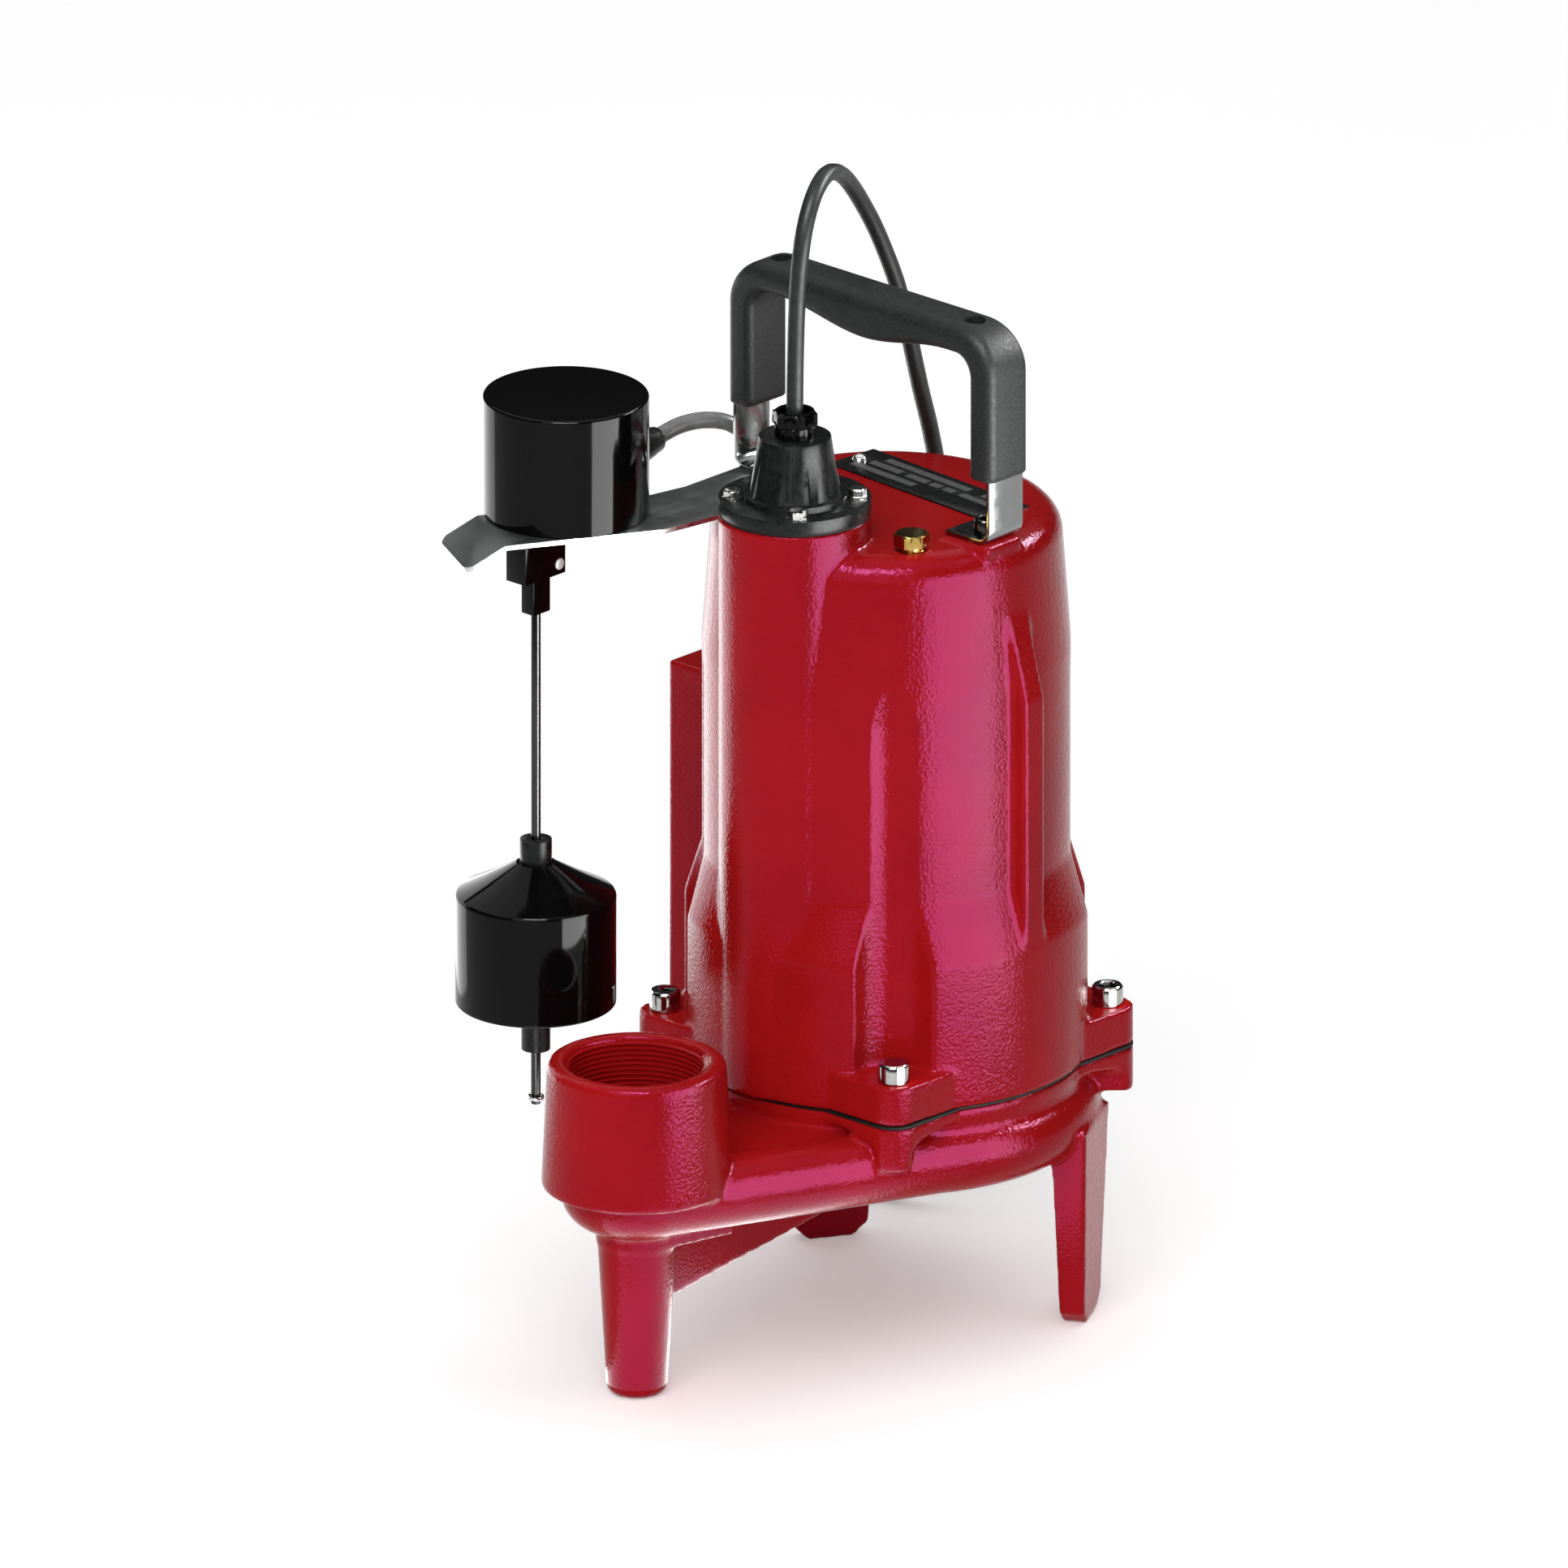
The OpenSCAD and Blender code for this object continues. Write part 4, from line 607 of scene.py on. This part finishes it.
def grip_mesh():
    sections = grip_sections()
    rings = [grip_ring(*s) for s in sections]
    ends = []
    for o, q, ro, ri in (sections[0], sections[-1]):
        ends.append(grip_ring(o, q, ro - GRIP_END_R, ri - GRIP_END_R, GRIP_END_R))
    lift = Vector((0, 0, GRIP_END_R / 1000))
    rings = [ends[0], [p + lift for p in rings[0]], *rings[1:-1], [p + lift for p in rings[-1]], ends[1]]
    mesh = mesh_from("grip", *rings_to_mesh(rings), 50)
    tmp = bpy.data.objects.new("grip_tmp", mesh)
    scene.collection.objects.link(tmp)
    drills = []
    for x in (-54.8, 54.8):
        drill = bpy.data.objects.new("drill", lathe("drill", [(4.5, 438.5), (4.5, 450)], (x, HANDLE_Y), 40))
        scene.collection.objects.link(drill)
        drills.append(drill)
        cut = tmp.modifiers.new("hole", "BOOLEAN")
        cut.operation, cut.solver, cut.object = "DIFFERENCE", "EXACT", drill
    made = bpy.data.meshes.new_from_object(tmp.evaluated_get(bpy.context.evaluated_depsgraph_get()))
    for ob in (tmp, *drills):
        bpy.data.objects.remove(ob)
    sharp_by_angle(made, 50)
    return made


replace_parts(new_object("grip_moulding", grip_mesh(), grip_black, "pump"), "handle_grip")


# Turned black pieces of the float switch


def arc(cx, cz, r, a0, a1, steps):
    return [
        (
            cx + r * math.cos(math.radians(a0 + (a1 - a0) * i / steps)),
            cz + r * math.sin(math.radians(a0 + (a1 - a0) * i / steps)),
        )
        for i in range(steps + 1)
    ]


switch_r, switch_low, switch_high = 34.5, 351.5, 403.0
cup = (
    [(31.5, switch_low), (33.9, switch_low), (switch_r, switch_low + 0.6)]
    + arc(switch_r - 1.2, switch_high - 1.2, 1.2, 0, 90, 6)
    + [(switch_r - 2.2, switch_high - 0.1), (0.01, switch_high - 0.1)]
)
switch_mesh = lathe("switch_cup", cup, (-86.4, -101.3), 128)
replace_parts(new_object("switch_cup", switch_mesh, black_gloss, "pump"), "switch_housing")

rod_at, float_r = (-86.7, -119.1), 33.4
float_low, float_shoulder, float_top = 140.5, 188.5, 202.2
shell = (
    [(6.1, float_low + 1), (24, float_low + 1), (27, float_low)]
    + arc(float_r - 1.6, float_low + 1.6, 1.6, -90, 0, 6)
    + arc(float_r - 2.0, float_shoulder - 1.2, 2.0, 0, 60, 6)
    + [(22, float_shoulder + 5.7), (13.5, float_shoulder + 10.6)]
    + [(8.2, float_top), (6.1, float_top)]
)
float_mesh = lathe("float_shell", shell, rod_at, 128, 28)
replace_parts(new_object("float_shell", float_mesh, black_gloss, "float"), "float_body")


# Screws, plugs and threads


def hexagon(r, count, turn=0.0):
    """Points round a hexagon of this corner radius, evenly by angle."""
    out = []
    for k in range(count):
        a = 2 * math.pi * k / count
        b = (a + math.pi / 6) % (math.pi / 3) - math.pi / 6
        q = r * math.cos(math.pi / 6) / math.cos(b)
        out.append((q * math.cos(a + turn), q * math.sin(a + turn)))
    return out


def circle(r, count):
    step = 2 * math.pi / count
    return [(r * math.cos(step * k), r * math.sin(step * k)) for k in range(count)]


def stack(outlines, x, y):
    """Rings of a screw or plug: each outline is (points, height)."""
    return rings_to_mesh([[at(x + px, y + py, z) for px, py in pts] for pts, z in outlines])


def socket_screw(x, y, z, end_z, turn, head_r, head_h, hex_r, shank_r):
    """A screw whose head stands on height z, with its shank's end at end_z."""
    n = 96
    return stack(
        [
            (circle(shank_r, n), end_z),
            (circle(shank_r, n), z),
            (circle(head_r - 0.3, n), z),
            (circle(head_r, n), z + 0.4),
            (circle(head_r, n), z + head_h - 1.2),
            (circle(head_r - 0.3, n), z + head_h - 0.45),
            (circle(head_r - 0.9, n), z + head_h),
            (circle(hex_r + 0.5, n), z + head_h),
            (hexagon(hex_r, n, turn), z + head_h - 0.5),
            (hexagon(hex_r, n, turn), z + head_h * 0.45),
            (circle(hex_r * 0.3, n), z + head_h * 0.38),
        ],
        x,
        y,
    )


def joined(name, parts, mat, body, node, degrees=32):
    verts, faces = [], []
    for v, f in parts:
        base = len(verts)
        verts += v
        faces += [tuple(i + base for i in face) for face in f]
    ob = new_object(name, mesh_from(name, verts, faces, degrees), mat, body)
    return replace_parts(ob, node)


BOLT = {"head_r": 6.5, "head_h": 8.5, "hex_r": 3.6, "shank_r": 4.0}
bolt_circle_r, lug_top_z, bolt_end_z = 91.4, 128.6, 93
bolts = []
for i, a in enumerate(SCREW_ANGLES):
    x, y = bolt_circle_r * math.cos(a), bolt_circle_r * math.sin(a)
    bolts.append(socket_screw(x, y, lug_top_z, bolt_end_z, 0.3 + i, **BOLT))
joined("flange_bolts_set", bolts, bolt_steel, "pump", "flange_bolts")

HANDLE_SCREW = {"head_r": 4.75, "head_h": 6, "hex_r": 2.75, "shank_r": 3.175}
handle_screw_x, strap_top_z, handle_screw_end_z = 60.4, 353.5, 334.5
handle_screws = [
    socket_screw(s * handle_screw_x, HANDLE_Y, strap_top_z, handle_screw_end_z, 0.4 * s, **HANDLE_SCREW)
    for s in (-1, 1)
]
joined("handle_screws_set", handle_screws, dark_steel, "pump", "handle_screws")

cap_circle_r, cap_flange_z = 26, 367
cap_screws = []
for i, a in enumerate(SCREW_ANGLES):
    x, y = cap_circle_r * math.cos(a), TOWER_Y + cap_circle_r * math.sin(a)
    n, turn = 48, 0.25 + 0.7 * i
    cap_screws.append(
        stack(
            [
                (circle(2, n), TOP_Z),
                (circle(2, n), cap_flange_z),
                (circle(4.1, n), cap_flange_z),
                (circle(4.1, n), cap_flange_z + 0.5),
                (hexagon(3.7, n, turn), cap_flange_z + 0.6),
                (hexagon(3.7, n, turn), cap_flange_z + 3.1),
                (circle(2.9, n), cap_flange_z + 3.6),
            ],
            x,
            y,
        )
    )
joined("cap_screws_set", cap_screws, bright, "pump", "cap_screws")

n = 96
oil_plug = stack(
    [
        (circle(6, n), TOP_Z - 9.5),
        (circle(6, n), TOP_Z),
        (circle(5.5, n), TOP_Z + 0.1),
        (circle(5.5, n), TOP_Z + 1.5),
        (hexagon(7.5, n, 0.35), TOP_Z + 1.7),
        (hexagon(7.5, n, 0.35), TOP_Z + 6.5),
        (circle(6.4, n), TOP_Z + 7),
    ],
    45,
    -33,
)
joined("oil_plug_turned", [oil_plug], brass, "pump", "oil_plug")

gland = stack(
    [
        (circle(8.4, n), 394),
        (circle(8.4, n), 398.7),
        (hexagon(9.3, n), 399),
        (hexagon(9.65, n), 399.3),
        (hexagon(9.65, n), 404.2),
        (circle(8.1, n), 405),
        (circle(6.5, n), 405),
        (circle(6.3, n), 402),
        (circle(3.8, n), 401.6),
    ],
    0,
    TOWER_Y,
)
joined("gland_nut_turned", [gland], black_gloss, "pump", "gland_nut")

# Pipe thread in the discharge: one helical ridge
pitch, low, high, bore, steps = 2.2087, 114.5, 143.6, 29.2, 72
discharge_y = -151
RIDGE = ((bore + 0.5, -1.0), (bore - 1.1, -0.12), (bore - 1.1, 0.12), (bore + 0.5, 1.0))
verts, faces = [], []
for i in range(int((high - low) / pitch * steps) + 1):
    a, z = 2 * math.pi * i / steps, low + pitch * i / steps
    for r, dz in RIDGE:
        verts.append(at(r * math.cos(a), discharge_y + r * math.sin(a), z + dz))
    if i:
        b = 4 * i
        faces += [(b - 4 + k, b - 3 + k, b + 1 + k, b + k) for k in range(3)]
new_object("discharge_thread", mesh_from("discharge_thread", verts, faces, 25), red, "pump")

# Blank fields printed on the nameplate
FIELD_H = 3.9
FIELDS = [(-8, 7.3, 50), (31, 7.3, 12), (-27, 1.1, 18), (-8, 1.1, 12), (3, 1.1, 5.5)]
FIELDS += [(11, 1.1, 5.5), (27, 1.1, 18), (-22, -5.3, 37)]
plate_x, plate_y = -1, 27
turn = Matrix.Rotation(math.radians(-4), 3, "Z")
verts, faces = [], []
for cx, cy, w in FIELDS:
    for z in (TOP_Z + 0.79, TOP_Z + 0.86):
        for sx, sy in ((-1, -1), (1, -1), (1, 1), (-1, 1)):
            p = turn @ Vector((cx + sx * w / 2, cy + sy * FIELD_H / 2, 0))
            verts.append(at(plate_x + p.x, plate_y + p.y, z))
    b = len(verts) - 8
    faces += [(b + 4, b + 5, b + 6, b + 7), (b, b + 1, b + 5, b + 4), (b + 1, b + 2, b + 6, b + 5)]
    faces += [(b + 2, b + 3, b + 7, b + 6), (b + 3, b, b + 4, b + 7)]
fields = mesh_from("nameplate_fields", verts, faces)
new_object("nameplate_fields", fields, plate_grey, "pump")


# What is left of the CAD frame, mostly inside the castings

for name, ob in nodes.items():
    if not ob.hide_render:
        ob.data.materials.clear()
        ob.data.materials.append(SLOT_MATERIAL[node_slot[name]])


# Studio


def floor():
    mesh = bpy.data.meshes.new("floor")
    s, z = 8, -0.0003
    mesh.from_pydata([(-s, -s, z), (s, -s, z), (s, s, z), (-s, s, z)], [], [(0, 1, 2, 3)])
    ob = bpy.data.objects.new("floor", mesh)
    scene.collection.objects.link(ob)
    m = principled("floor", (0.95, 0.95, 0.95), 0.9, specular=0.1)
    vary_color(m, (0.94, 0.94, 0.94), (0.96, 0.96, 0.96), 3)
    # The white behind the object: more light for rays that look at the floor, none cast on the object
    n, l = m.node_tree.nodes, m.node_tree.links
    path = n.new("ShaderNodeLightPath")
    seen = path.outputs["Is Camera Ray"]
    for other in ("Is Glossy Ray", "Is Transmission Ray"):
        top = n.new("ShaderNodeMath")
        top.operation = "MAXIMUM"
        l.new(seen, top.inputs[0])
        l.new(path.outputs[other], top.inputs[1])
        seen = top.outputs["Value"]
    gain = n.new("ShaderNodeMath")
    gain.operation = "MULTIPLY"
    gain.inputs[1].default_value = 0.3
    l.new(seen, gain.inputs[0])
    n["Principled BSDF"].inputs["Emission Color"].default_value = (1, 1, 1, 1)
    l.new(gain.outputs["Value"], n["Principled BSDF"].inputs["Emission Strength"])
    ob.data.materials.append(m)
    ob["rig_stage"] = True


def area_light(name, place, target, size, radiance):
    """A rectangle of light, as bright for every metre of its size."""
    data = bpy.data.lights.new(name, "AREA")
    data.shape = "RECTANGLE"
    data.size, data.size_y = size
    data.energy = radiance * math.pi * size[0] * size[1]
    ob = bpy.data.objects.new(name, data)
    ob.location = place
    ob.rotation_euler = (Vector(place) - Vector(target)).to_track_quat("Z", "Y").to_euler()
    ob.visible_camera = False
    scene.collection.objects.link(ob)
    return ob


floor()
middle = at(0, 0, 200)


def from_camera(turn, distance, height):
    """A place round the motor axis: turn is degrees to the right of the camera's side."""
    a = AZIMUTH + math.radians(turn)
    return at(0, 0, 0) + Vector((math.sin(a) * distance, -math.cos(a) * distance, height))


area_light("overhead", from_camera(180, 0.9, 3.2), from_camera(180, 0.6, 0), (5.5, 5.5), 1.25)
area_light("front_fill", from_camera(-12, 2.6, 1.9), middle, (2.4, 2.4), 3.0)
# Cards that only shiny faces show: upright at the sides, lying in front of the feet, and small ones high up
CARDS = (
    ("right", from_camera(46, 0.47, 0.24), from_camera(46, 0, 0.24), (0.42, 0.48), 18.0),
    ("left", from_camera(-130, 0.47, 0.2), from_camera(-130, 0, 0.2), (0.45, 0.4), 2.6),
    ("low", from_camera(-12, 0.19, 0.004), from_camera(-12, 0.19, 1), (0.24, 0.24), 5.0),
    ("high", from_camera(-10, 0.9, 1.6), at(0, 0, 340), (0.7, 0.2), 90.0),
    ("far", from_camera(110, 1.0, 0.95), at(0, 0, 120), (0.7, 0.2), 70.0),
)
for name, place, target, size, radiance in CARDS:
    area_light(name + "_card", place, target, size, radiance).visible_diffuse = False
world = bpy.data.worlds.new("world")
scene.world = world
world.use_nodes = True
world.node_tree.nodes["Background"].inputs["Color"].default_value = (1, 1, 1, 1)
world.node_tree.nodes["Background"].inputs["Strength"].default_value = 0.035

low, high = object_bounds()
